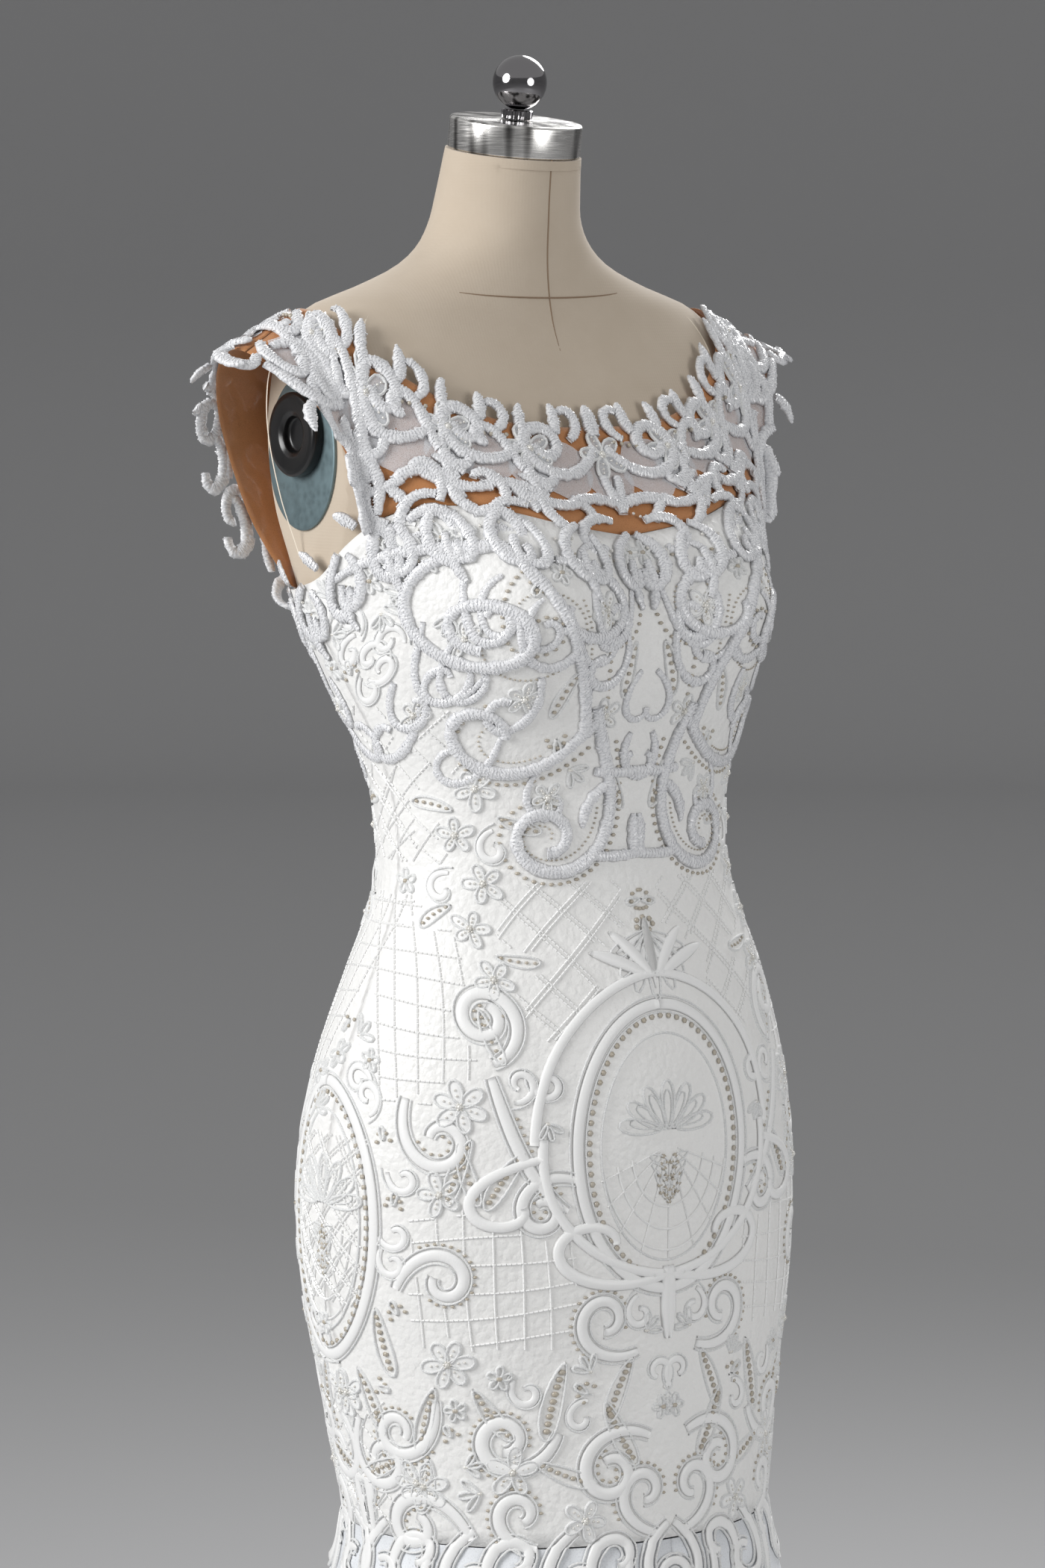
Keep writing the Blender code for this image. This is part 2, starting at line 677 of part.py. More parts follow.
def at_free(at):
    """Whether the yoke's outer edge is free at this place along the table."""
    before = min(int(at), len(YOKE) - 2)
    return None in (YOKE[before].seam_turn, YOKE[before + 1].seam_turn)


def yoke_sheet(first, last, columns, tree):
    """The sheer cloth between two stations of the table, laid on the shoulders where it meets them."""
    places = list(range(len(YOKE)))
    free = [Vector(row[-3:]) if row.seam_turn is None else on_seam(row.seam_turn) for row in YOKE]
    neck = [pushed_off(Vector(row[:3]), tree, CLOTH_CLEARANCE) for row in YOKE]

    def along(points, at):
        return Vector([curve_value(places, [p[axis] for p in points], at) for axis in range(3)])

    def edge(at):
        if at_free(at):
            return along(free, at)
        before = min(int(at), len(YOKE) - 2)
        start, end = YOKE[before].seam_turn, YOKE[before + 1].seam_turn
        return on_seam(start + (end - start) * (at - before))

    grid = []
    for k in range(YOKE_ROWS + 1):
        row = []
        for i in range(columns + 1):
            at = first + (last - first) * i / columns
            side = -1 if at < 0 else 1
            point = along(neck, abs(at)).lerp(edge(abs(at)), k / YOKE_ROWS)
            clearance = CLOTH_CLEARANCE + YOKE_EASE * math.sin(math.pi * min(1.0, k / YOKE_ROWS + 0.3) / 1.3)
            point = pushed_off(point, tree, clearance) if k < YOKE_ROWS or at_free(abs(at)) else point
            row.append(Vector((side * point.x, point.y, point.z)))
        grid.append(row)
    return Sheet(grid)


def flounce_point(turn, share):
    """A point of the flounce, share of the way from its seam down to the hem."""
    top = off_body(turn, SHEATH_HEM, CLOTH_CLEARANCE + FLOUNCE_THICK)
    angle = math.radians(turn)
    flare = 0.22 * share + 0.78 * share ** 1.55
    out = Vector((math.sin(angle), -math.cos(angle), 0)) * HEM_RADIUS
    wave = 0.3 * math.cos((FLUTES + 5) * angle + 1.1) - 0.7 * math.cos(FLUTES * angle)
    depth = FLUTE_DEPTH * share ** 1.2 * wave
    spread = Vector((top.x, top.y, 0)).lerp(out, flare) + out.normalized() * depth
    return Vector((spread.x, spread.y, FLOUNCE_TOP + (HEM - FLOUNCE_TOP) * share))


def flounce_sheet(first_turn, last_turn):
    """A quarter of the flounce, with an even gap left along its two seams, which lie in its troughs."""
    columns = FLUTES * POINTS_PER_FLUTE // 4
    rows = []
    for k in range(FLOUNCE_ROWS + 1):
        share = k / FLOUNCE_ROWS
        start = first_turn + math.degrees(FLOUNCE_SEAM_GAP / flounce_point(first_turn, share).xy.length)
        end = last_turn - math.degrees(FLOUNCE_SEAM_GAP / flounce_point(last_turn, share).xy.length)
        turns = [start + (end - start) * i / columns for i in range(columns + 1)]
        rows.append([flounce_point(turn, share) for turn in turns])
    return Sheet(rows)


def make_buttons(panel, material, collection):
    """Covered buttons that stand on the edge of a back panel, at the centre back opening."""
    for n in range(BUTTONS):
        row = sheath_row(180, BUTTON_TOP - n * BUTTON_PITCH)
        column = panel.last_column
        seat = panel.off(column, row, SATIN_THICK + BUTTON_LIFT)
        out = (seat - panel.off(column, row, 0)).normalized()
        place = Vector((0, seat.y, seat.z))
        dome = [(0, BUTTON_RISE), (BUTTON_RADIUS * 0.6, BUTTON_RISE * 0.8), (BUTTON_RADIUS, 1.2)]
        dome += [(BUTTON_RADIUS, 0), (0, 0)]
        facing = Vector((0, 0, 1)).rotation_difference(out).to_matrix().to_4x4()
        standing = Matrix.Translation(place * MM) @ facing
        turned(f"button_{n + 1}", dome, BUTTON_STEPS, material, collection, standing)


def main():
    clear_scene()
    collection = bpy.data.collections.new("wedding_dress_on_form")
    bpy.context.scene.collection.children.link(collection)
    linen = make_material("linen cover", (0.62, 0.55, 0.46), 0.85)
    steel = make_material("polished steel", (0.62, 0.61, 0.6), 0.22, 1.0)
    zinc = make_material("zinc plate", (0.33, 0.4, 0.42), 0.45, 0.6)
    black = make_material("black plastic", (0.015, 0.015, 0.016), 0.4)
    satin = make_material("ivory satin", (0.86, 0.86, 0.84), 0.45)
    net = make_material("nude net", (0.62, 0.34, 0.18), 0.7)
    tulle = make_material("white tulle", (0.82, 0.84, 0.86), 0.6)

    make_form(linen, collection)
    make_neck_cap(steel, collection)
    for side in (1, -1):
        make_arm_plate(side, zinc, black, collection)
    make_stand(steel, collection)

    gap = math.degrees(SEAM_GAP / ring_at(WAIST).half_width)
    front = sheath_sheet(-90 + gap, 90 - gap, FRONT_COLUMNS)
    wall("front_panel", front, SATIN_THICK, satin, collection)
    back_left = sheath_sheet(90 + gap, 180 - gap, BACK_COLUMNS)
    wall("back_panel_left", back_left, SATIN_THICK, satin, collection)
    back_right = sheath_sheet(-180 + gap, -90 - gap, BACK_COLUMNS)
    wall("back_panel_right", back_right, SATIN_THICK, satin, collection)

    make_buttons(back_left, satin, collection)

    tree = body_tree()
    shoulder, end = SHOULDER_STATION, len(YOKE) - 1
    yoke_front = yoke_sheet(-shoulder + YOKE_SLIT, shoulder - YOKE_SLIT, YOKE_COLUMNS, tree)
    wall("yoke_front", yoke_front, NET_THICK, net, collection)
    yoke_left = yoke_sheet(shoulder + YOKE_SLIT, end, YOKE_BACK_COLUMNS, tree)
    wall("yoke_back_left", yoke_left, NET_THICK, net, collection)
    yoke_right = yoke_sheet(-end, -shoulder - YOKE_SLIT, YOKE_BACK_COLUMNS, tree)
    wall("yoke_back_right", yoke_right, NET_THICK, net, collection)

    def lay_lace(name, strokes, sheet, origin):
        def flatten(along, across):
            return Vector((sheet.column_at(origin + along), across / BORDER_DEPTH * YOKE_ROWS))

        def lay(column, row):
            seam_share = max(0.0, min(1.0, row / YOKE_ROWS))
            return sheet.off(column, row, NET_THICK + LACE_LIFT + (SATIN_THICK - NET_THICK) * seam_share)

        lace(name, strokes, flatten, lay, [], LACE_THICK, satin, collection)

    half = yoke_front.reach[-1] / 2
    strokes = border_strokes(half - BORDER_END, 1) + border_strokes(half - BORDER_END, -1)
    lay_lace("lace_front", strokes, yoke_front, half)
    full = yoke_left.reach[-1]
    length = full - 2 * BORDER_END
    lay_lace("lace_back_left", border_strokes(length, -1, BORDER_END), yoke_left, full)
    lay_lace("lace_back_right", border_strokes(length, 1, BORDER_END), yoke_right, 0.0)

    def flatten_on_panel(along, across):
        column = front.column_at(front.reach[-1] / 2 + along * PANEL_STRETCH)
        return Vector((column, sheath_row(-90 + 180 * column / front.last_column, APPLIQUE_TOP - across)))

    def lay_applique(name, table, lift):
        def lay(column, row):
            return front.off(column, row, SATIN_THICK + lift)

        strokes = [(stroke, 0.0, flip) for stroke in table for flip in (1, -1)]
        lace(name, strokes, flatten_on_panel, lay, folds, LACE_THICK, satin, collection)

    columns, rows = front.last_column, front.last_row
    folds = [((i * CELL, 0), (i * CELL, rows * CELL)) for i in range(1, columns)]
    folds += [((0, k * CELL), (columns * CELL, k * CELL)) for k in range(1, rows)]
    lay_applique("applique_bodice", BODICE_APPLIQUE, BODICE_APPLIQUE_LIFT)
    lay_applique("applique_hip", HIP_APPLIQUE, HIP_APPLIQUE_LIFT)

    gores = [("front_left", 0), ("back_left", 90), ("back_right", 180), ("front_right", 270)]
    for name, first_turn in gores:
        wall("flounce_" + name, flounce_sheet(first_turn, first_turn + 90), FLOUNCE_THICK, tulle, collection, -1)


main()
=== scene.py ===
"""The looks of a fitted lace wedding dress on a limbless dress form, laid out as an add-on and run as a script.

Tables and sizes are in millimetres and become metres where a mesh is made. The figure faces -Y, its left side
is +X, and the origin lies under the stand's pole, at floor level. A turn is in degrees from the centre front
towards the figure's left.
"""

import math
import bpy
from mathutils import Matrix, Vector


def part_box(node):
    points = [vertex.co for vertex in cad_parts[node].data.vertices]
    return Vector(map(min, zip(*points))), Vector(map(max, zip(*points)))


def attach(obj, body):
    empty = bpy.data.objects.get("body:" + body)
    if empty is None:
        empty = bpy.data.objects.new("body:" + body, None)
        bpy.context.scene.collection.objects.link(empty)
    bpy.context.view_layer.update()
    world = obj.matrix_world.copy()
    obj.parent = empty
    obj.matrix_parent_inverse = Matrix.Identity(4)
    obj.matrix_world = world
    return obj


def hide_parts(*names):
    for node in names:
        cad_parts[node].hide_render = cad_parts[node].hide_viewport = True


bl_info = {
    "name": "Lace wedding dress",
    "version": (1, 0, 0),
    "blender": (4, 5, 0),
    "location": "3D View > Sidebar > Dress",
    "description": "Makes the cloth, lace, beads, dress form and stand of a lace wedding dress",
    "category": "Object",
}

from collections import namedtuple

import bmesh
import bpy
import numpy as np
from mathutils import Matrix, Vector
from mathutils.bvhtree import BVHTree

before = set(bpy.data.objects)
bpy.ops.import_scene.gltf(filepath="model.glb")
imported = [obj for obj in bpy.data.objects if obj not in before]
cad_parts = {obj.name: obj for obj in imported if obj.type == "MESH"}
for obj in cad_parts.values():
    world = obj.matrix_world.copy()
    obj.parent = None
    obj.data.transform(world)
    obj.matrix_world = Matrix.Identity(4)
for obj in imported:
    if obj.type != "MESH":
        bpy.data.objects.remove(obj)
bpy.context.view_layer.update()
BODY_NAME = "root"
MM = 0.001

# Heights above the floor, cloth walls and gaps
FORM_BOTTOM, NECK_TOP = 790.0, 1516.0
SHEATH_HEM, HEM, WAIST = 652.0, 4.0, 1080.0
FLOUNCE_TOP = SHEATH_HEM - 0.9
FORM_INSET, CLOTH_CLEARANCE = 2.0, 1.6
NET_THICK, SATIN_THICK, FLOUNCE_THICK = 1.0, 2.0, 2.0
SEAM_GAP, YOKE_SEAM_GAP, YOKE_EASE = 0.4, 0.7, 1.4
SEWN_GAP = 0.12
SHEATH_ROWS, SHEATH_SPREAD = 15, 1.35
FRONT_COLUMNS = 24

# The bust of the form, which the front of the dress follows
BUST_HEIGHT, BUST_SIDE, BUST_RISE = 1232.0, 78.0, 33.0
BUST_SPREAD_IN, BUST_SPREAD_OUT = 68.0, 44.0
BUST_SPREAD_UP, BUST_SPREAD_DOWN = 62.0, 43.0
BUST_TURNED_OUT = 0.22

# Arm plates, neck cap and finial
ARM_CUT = 157.0
ARM_PLATE_CENTRE, ARM_PLATE_HALF, ARM_PLATE_THICK = (43.0, 1327.0), (38.0, 48.0), 2.0
SOCKET_RADIUS, SOCKET_BORE, SOCKET_THICK, SOCKET_RISE = 26.5, 11.0, 8.0, 12.0
NECK_TILT, NECK_CENTRE_Y = math.radians(8.9), 39.5
CAP_RADIUS, CAP_HEIGHT = 42.5, 20.5
COLLAR_RADIUS, COLLAR_HEIGHT, BALL_RADIUS = 9.8, 6.5, 17.3

# Flounce and buttons
HEM_RADIUS, FLUTES, FLUTE_DEPTH = 470.0, 16, 30.0
BUTTONS, BUTTON_TOP, BUTTON_PITCH = 9, 1224.0, 28.0
BUTTON_RADIUS, BUTTON_RISE = 6.0, 4.6

# The camera, in metres, and the direction that it looks from
CAMERA_TURN, CAMERA_DISTANCE, CAMERA_HEIGHT = math.radians(-35), 3.3, 1.42
AIM_HEIGHT, AIM_LEFT = 1.115, 0.017
LENS, SENSOR = 119.3, 36.0

# Cross-sections of the body, bottom to top. side_y is where the section is widest.
Ring = namedtuple("Ring", "z half_width front_y back_y side_y power")
BODY = [
    Ring(600, 131, -130, 113, -8, 2.0),
    Ring(650, 138.5, -129, 113, -7, 2.0),
    Ring(700, 146.5, -127, 116, -4, 2.0),
    Ring(750, 156, -125.5, 122, 0, 2.0),
    Ring(800, 164, -125.5, 126, 3, 2.05),
    Ring(852, 167, -126, 128, 4, 2.05),
    Ring(900, 163.5, -126, 126, 3, 2.05),
    Ring(950, 153.5, -122, 116, 0, 2.05),
    Ring(1000, 137.5, -111, 100, -5, 2.05),
    Ring(1045, 121, -96, 88, -6, 2.05),
    Ring(1080, 115.5, -91, 87, -4, 2.05),
    Ring(1120, 118.5, -91, 92, 0, 2.05),
    Ring(1150, 127.5, -95, 99, 5, 2.1),
    Ring(1180, 139, -101, 109, 15, 2.1),
    Ring(1210, 149, -97, 116, 26, 2.15),
    Ring(1237, 155.5, -91, 120, 35, 2.2),
    Ring(1270, 164, -80, 121, 41, 2.25),
    Ring(1300, 172, -64, 120, 46, 2.3),
    Ring(1340, 178.5, -41, 117, 50, 2.35),
    Ring(1370, 178, -25, 110, 52, 2.3),
    Ring(1390, 172, -14, 106, 53, 2.2),
    Ring(1405, 162, -7, 104, 53, 2.05),
    Ring(1419, 144, -3, 103, 53, 1.85),
    Ring(1431, 110, -1, 103, 53, 1.75),
    Ring(1443, 80, 0, 102, 52, 1.85),
    Ring(1456, 61, 0, 101, 51, 2.0),
    Ring(1472, 51, -1, 100, 49.5, 2.0),
    Ring(1488, 48.5, -2, 95, 46.5, 2.0),
    Ring(1520, 45.5, -5.5, 85, 40, 2.0),
]
BODY_COLUMNS = list(zip(*BODY))

# The upper edge of the opaque part, by its turn from the centre front
EdgePoint = namedtuple("EdgePoint", "turn z")
BODICE_TOP = [
    EdgePoint(0, 1275),
    EdgePoint(14, 1283),
    EdgePoint(28, 1293),
    EdgePoint(42, 1295),
    EdgePoint(56, 1288),
    EdgePoint(70, 1272),
    EdgePoint(84, 1251),
    EdgePoint(98, 1243),
    EdgePoint(122, 1241),
    EdgePoint(150, 1240),
    EdgePoint(180, 1238),
]

# The sheer yoke from centre front over the shoulder to centre back: its neckline, and its outer edge,
# which is sewn to the bodice where seam_turn is given and is the free armhole edge elsewhere.
Station = namedtuple("Station", "neck_x neck_y neck_z seam_turn edge_x edge_y edge_z")
YOKE = [
    Station(0, -41, 1341, 0, None, None, None),
    Station(30, -40, 1342, 10, None, None, None),
    Station(60, -35, 1345, 21, None, None, None),
    Station(90, -23, 1355, 33, None, None, None),
    Station(114, -8, 1370, 46, None, None, None),
    Station(132, 8, 1386, 59, None, None, None),
    Station(141, 20, 1398, None, 155, -16, 1302),
    Station(146, 31, 1406, None, 163, -10, 1332),
    Station(149, 42, 1411, None, 178, 4, 1362),
    Station(150, 53, 1413, None, 200, 42, 1390),
    Station(147, 66, 1409, None, 200, 72, 1384),
    Station(140, 84, 1393, None, 189, 93, 1356),
    Station(126, 100, 1362, None, 175, 100, 1320),
    Station(106, 111, 1328, None, 161, 94, 1279),
    Station(80, 118, 1300, 118, None, None, None),
    Station(52, 121, 1283, 134, None, None, None),
    Station(26, 122, 1273, 154, None, None, None),
    Station(1, 122, 1269, 179.2, None, None, None),
]
SHOULDER_STATION = 9
YOKE_SLIT = 0.02

# Strokes of corded lace, drawn flat. along runs from the centre front or back to the side, across runs
# down, a heading of 0 points along and 90 down, and a bend is in degrees for each millimetre.
Stroke = namedtuple("Stroke", "along across heading length bend bend_end start_width width end_width")

# One repeat of the lace border, measured from the neckline edge
BORDER_PITCH, BORDER_DEPTH, BORDER_END = 70.0, 72.0, 26.0
BORDER_FILLING = [
    Stroke(22, 10, -150, 34, 2.6, 11.0, 5, 7.5, 5),
    Stroke(10, 66, -14, 52, 2.0, 9.6, 5, 8, 6),
    Stroke(40, 76, -24, 34, -1.0, -8.0, 5, 8, 5),
    Stroke(56, 22, 60, 40, 2.2, 10.0, 5, 8, 6),
    Stroke(46, 50, -40, 22, 1.6, 1.6, 5, 7.5, 2),
]
# The lace of the shoulder caps, from the shoulder seam inward, and one repeat along the armhole
SHOULDER_LACE = [
    Stroke(6, 58, -84, 92, 1.5, 7.8, 6, 9.5, 7),
    Stroke(8, 76, -8, 76, -0.8, -7.5, 6, 9.5, 7),
    Stroke(36, 80, -60, 66, 1.8, 8.5, 6, 9, 6),
    Stroke(2, 36, 10, 60, 1.8, 8.0, 6, 9, 6),
    Stroke(4, 8, 40, 50, 2.2, 9.4, 6, 9, 6),
    Stroke(4, 74, 70, 36, 2.2, 9.0, 6, 8.5, 5),
    Stroke(26, 76, 110, 20, -2.4, -2.4, 6, 9, 1.8),
    Stroke(46, 76, 70, 18, 2.4, 2.4, 6, 8.5, 1.8),
    Stroke(20, 20, 80, 54, -1.4, -8.6, 6, 9, 6),
]
ARMHOLE_LACE = [
    Stroke(0, 78, -30, 52, 1.8, 9.0, 5, 9, 6),
    Stroke(26, 76, 70, 16, 2.8, 2.8, 6, 8.5, 1.8),
    Stroke(20, 70, -70, 40, -1.8, -9.0, 5, 8.5, 5),
]
# One repeat of the lace that covers the seam between the net and the satin
SEAM_LACE_PITCH = 40.0
SEAM_LACE = [
    Stroke(0, -2, 24, 60, 1.2, 9.5, 5, 8.5, 6),
    Stroke(34, 3, 124, 44, -1.6, -9.0, 5, 8, 5),
    Stroke(20, -6, -58, 20, 1.0, 1.0, 5, 8, 2),
    Stroke(4, 14, 70, 30, 1.4, 2.0, 5, 7.5, 3),
]
BORDER = [
    Stroke(5, 14, 62, 138, -1.1, -7.2, 5.5, 10, 8),
    Stroke(60, 36, -50, 60, -1.8, 13.5, 7, 8, 6),
    Stroke(32, 6, -112, 22, 1.7, 1.7, 6, 9, 1.8),
    Stroke(1, 7, -74, 22, -1.7, -1.7, 6, 8.5, 1.8),
    Stroke(-4, 56, -30, 42, 1.5, 1.5, 7, 8, 7),
    Stroke(30, 56, 25, 46, -1.5, -1.0, 7, 8, 7),
    Stroke(0, 60, -88, 26, 1.7, -2.5, 6, 7.5, 6),
]
FLOWER_ACROSS, PETALS, PETAL_LENGTH, PETAL_TURN = 20.0, 5, 17.0, 38.0

# Half of the thick corded applique on the front, measured from the centre front and down from its top
APPLIQUE_TOP, PANEL_STRETCH = 1284.0, 1.1
BODICE_APPLIQUE = [
    Stroke(62, 8, 120, 126, -0.32, -0.1, 7, 9, 8),
    Stroke(28, 110, 100, 222, 0.2, -5.3, 8, 9, 7),
    Stroke(57, 13, 2, 216, 0.9, 4.6, 7, 9, 7),
    Stroke(26, 118, 52, 150, -0.2, -5.2, 7, 8.5, 6),
    Stroke(40, 22, 172, 96, -1.4, -5.4, 6, 8, 6),
    Stroke(62, 12, 2, 84, 0.25, 0.7, 6, 8, 3),
    Stroke(-4, 152, 8, 32, -0.5, -0.5, 6, 7, 6),
    Stroke(19, 160, 30, 34, 1.5, 2.5, 5, 8, 2),
    Stroke(-2, 206, -90, 26, 0, 0, 5, 9, 3),
    Stroke(-4, 204, 12, 38, -0.6, -0.6, 6, 7, 5),
]
HIP_APPLIQUE = [
    Stroke(-2, 279, 2, 132, 1.1, 0.05, 6, 7, 7),
    Stroke(57, 376, 88, 124, 0.4, 1.3, 7, 7, 6),
    Stroke(0, 280, -90, 34, 0, 0, 5, 9, 2),
    Stroke(2, 280, -62, 34, 0.6, 0.6, 5, 9, 2),
    Stroke(5, 280, -36, 34, 0.6, 0.6, 5, 9, 2),
    Stroke(-3, 464, 22, 106, -0.6, -5.9, 5, 8, 6),
    Stroke(57, 388, 20, 80, 0.5, 7.5, 5, 8, 6),
    Stroke(-1, 460, 90, 46, 0, 0, 5, 9, 2),
]

# Soft creases of the fitted cloth: where, how long and wide, how far out, and the slope of its line
Crease = namedtuple("Crease", "turn z length width rise slope")
CREASES = [
    Crease(-72, 1098, 62, 7, 0.9, 0.28),
    Crease(-80, 1072, 48, 6, -0.8, 0.16),
    Crease(-66, 1048, 70, 9, 0.7, -0.12),
    Crease(76, 1090, 58, 7, 0.8, -0.22),
    Crease(70, 1060, 44, 8, -0.7, -0.1),
    Crease(-96, 1130, 50, 8, 0.8, 0.35),
    Crease(104, 1104, 54, 7, 0.9, -0.3),
    Crease(150, 1086, 60, 8, 0.8, 0.18),
    Crease(-148, 1078, 66, 9, -0.8, -0.2),
    Crease(-120, 1060, 46, 7, 0.7, 0.1),
    Crease(-40, 742, 80, 12, -0.8, 0.4),
    Crease(52, 728, 90, 11, 0.8, -0.35),
    Crease(-110, 716, 84, 12, 0.9, 0.5),
    Crease(128, 736, 76, 12, -0.9, -0.42),
    Crease(172, 980, 52, 8, 0.7, 0.1),
]


# Shapes of the body and cloth

def smooth_values(places, values, at):
    """The smooth curve through a column of a table, at many places at once."""
    places, values, at = (np.asarray(a, float) for a in (places, values, at))
    last = len(places) - 1
    i = np.clip(np.searchsorted(places, at, side="right") - 1, 0, last - 1)
    step = places[i + 1] - places[i]
    share = np.clip((at - places[i]) / step, 0, 1)
    high, low = np.minimum(np.arange(last + 1) + 1, last), np.maximum(np.arange(last + 1) - 1, 0)
    slope = (values[high] - values[low]) / (places[high] - places[low])
    a, b = share * share * (3 - 2 * share), share * (1 - share)
    bend = b * ((1 - share) * slope[i] - share * slope[i + 1]) * step
    return values[i] * (1 - a) + values[i + 1] * a + bend


def signed_power(value, power):
    return np.sign(value) * np.abs(value) ** power


def body_points(turn, z):
    """Points of the body at turns and heights."""
    turn, z = np.broadcast_arrays(np.asarray(turn, float), np.asarray(z, float))
    half_width, front_y, back_y, side_y, power = [
        smooth_values(BODY_COLUMNS[0], column, z) for column in BODY_COLUMNS[1:]
    ]
    sine, cosine = np.sin(np.radians(turn)), np.cos(np.radians(turn))
    x = half_width * signed_power(sine, 2 / power)
    reach = np.where(cosine > 0, side_y - front_y, back_y - side_y)
    y = side_y - reach * signed_power(cosine, 2 / power)
    across, up = np.abs(x) - BUST_SIDE, z - BUST_HEIGHT
    spread = np.where(across > 0, BUST_SPREAD_OUT, BUST_SPREAD_IN)
    reach_up = np.where(up > 0, BUST_SPREAD_UP, BUST_SPREAD_DOWN)
    rise = BUST_RISE * np.exp(-((across / spread) ** 2) - (up / reach_up) ** 2)
    rise *= np.sqrt(np.maximum(cosine, 0))
    return np.stack([x + np.sign(x) * BUST_TURNED_OUT * rise, y - rise, z], -1)


def unit(vectors):
    return vectors / np.maximum(np.linalg.norm(vectors, axis=-1, keepdims=True), 1e-9)


def body_facing(turn, z):
    turn, z = np.asarray(turn, float), np.asarray(z, float)
    across = body_points(turn + 0.5, z) - body_points(turn - 0.5, z)
    up = body_points(turn, z + 0.5) - body_points(turn, z - 0.5)
    return unit(np.cross(across, up))


def off_body(turn, z, distance):
    distance = np.asarray(distance, float)[..., None]
    return body_points(turn, z) + body_facing(turn, z) * distance


def bodice_top(turn):
    folded = np.abs((np.asarray(turn, float) + 180) % 360 - 180)
    return smooth_values([row.turn for row in BODICE_TOP], [row.z for row in BODICE_TOP], folded)


def crease_rise(turn, z):
    """How far the soft creases lift the fitted cloth at turns and heights."""
    rise = np.zeros(np.broadcast(turn, z).shape)
    girth = smooth_values(BODY_COLUMNS[0], BODY_COLUMNS[1], z) * math.pi / 180
    for crease in CREASES:
        away = (np.asarray(turn, float) - crease.turn + 180) % 360 - 180
        along = away * girth
        off_line = np.asarray(z, float) - crease.z - along * crease.slope - 6 * np.sin(along / 23)
        rise += crease.rise * np.exp(-((along / crease.length * 2) ** 2) - (off_line / crease.width) ** 2)
    return rise


def flounce_points(turn, share):
    """Points of the flounce, share of the way from its seam down to the hem."""
    turn, share = np.broadcast_arrays(np.asarray(turn, float), np.asarray(share, float))
    top = off_body(turn, np.full(turn.shape, SHEATH_HEM), np.full(turn.shape, CLOTH_CLEARANCE + FLOUNCE_THICK))
    angle = np.radians(turn)
    flare = 0.22 * share + 0.78 * share ** 1.55
    out = np.stack([np.sin(angle), -np.cos(angle)], -1)
    wave = 0.3 * np.cos((FLUTES + 5) * angle + 1.1) - 0.7 * np.cos(FLUTES * angle)
    depth = FLUTE_DEPTH * share ** 1.2 * wave
    spread = top[..., :2] * (1 - flare)[..., None] + out * (HEM_RADIUS * flare + depth)[..., None]
    return np.concatenate([spread, (FLOUNCE_TOP + (HEM - FLOUNCE_TOP) * share)[..., None]], -1)


# How far it is round the body from the centre front, for each height and turn, and the other way about
GIRTH_HEIGHTS, GIRTH_TURNS = np.arange(600.0, 1312.0, 8.0), np.arange(0.0, 181.0, 1.5)
GIRTH_STEP = 4.0
_round = body_points(GIRTH_TURNS[None, :], GIRTH_HEIGHTS[:, None])
_steps = np.linalg.norm(np.diff(_round, axis=1), axis=-1)
GIRTHS = np.concatenate([np.zeros((len(_steps), 1)), np.cumsum(_steps, axis=1)], axis=1)
TURNS_ALONG = np.array(
    [np.interp(np.arange(0, GIRTHS.max() + GIRTH_STEP, GIRTH_STEP), row, GIRTH_TURNS) for row in GIRTHS]
)


def from_grid(grid, row, column):
    """Values between the corners of a grid."""
    row = np.clip(row, 0, grid.shape[0] - 1.001)
    column = np.clip(column, 0, grid.shape[1] - 1.001)
    k, i = row.astype(int), column.astype(int)
    v, u = row - k, column - i
    if grid.ndim == 3:
        v, u = v[..., None], u[..., None]
    upper = grid[k, i] * (1 - u) + grid[k, i + 1] * u
    lower = grid[k + 1, i] * (1 - u) + grid[k + 1, i + 1] * u
    return upper * (1 - v) + lower * v


def turn_at(along, z):
    """The turn this far along the cloth from the centre front, at a height."""
    row = (np.clip(z, 600, 1300) - GIRTH_HEIGHTS[0]) / 8.0
    return np.sign(along) * from_grid(TURNS_ALONG, row, np.abs(along) / GIRTH_STEP)


def on_front(along, down, lift):
    """A flat drawing laid on the cloth from the centre front, in true lengths."""
    z = APPLIQUE_TOP - np.asarray(down, float)
    return on_cloth(turn_at(np.asarray(along, float), z), z, lift)


def on_back(along, down, lift):
    """The same, from the centre back."""
    z = APPLIQUE_TOP - np.asarray(down, float)
    along = np.asarray(along, float)
    half = np.interp(z, GIRTH_HEIGHTS, GIRTHS[:, -1])
    turn = np.abs(turn_at(half - np.abs(along), z))
    return on_cloth(np.where(along < 0, 360 - turn, turn), z, lift)


def on_cloth(turn, z, lift):
    """Points and facings at turns and heights on the fitted cloth, or below it on the flounce."""
    lift = np.broadcast_to(np.asarray(lift, float), np.shape(z))
    held = np.maximum(z, SHEATH_HEM)
    facing = body_facing(turn, held)
    fitted = off_body(turn, held, CLOTH_CLEARANCE + SATIN_OUT + lift + crease_rise(turn, held))
    share = np.clip((FLOUNCE_TOP - z) / (FLOUNCE_TOP - HEM), 0, 1)
    loose = flounce_points(turn, share) + facing * (lift + 0.4)[..., None]
    below = np.clip((SHEATH_HEM - z) / 4, 0, 1)[..., None]
    return fitted * (1 - below) + loose * below, facing


SATIN_OUT = 1.3


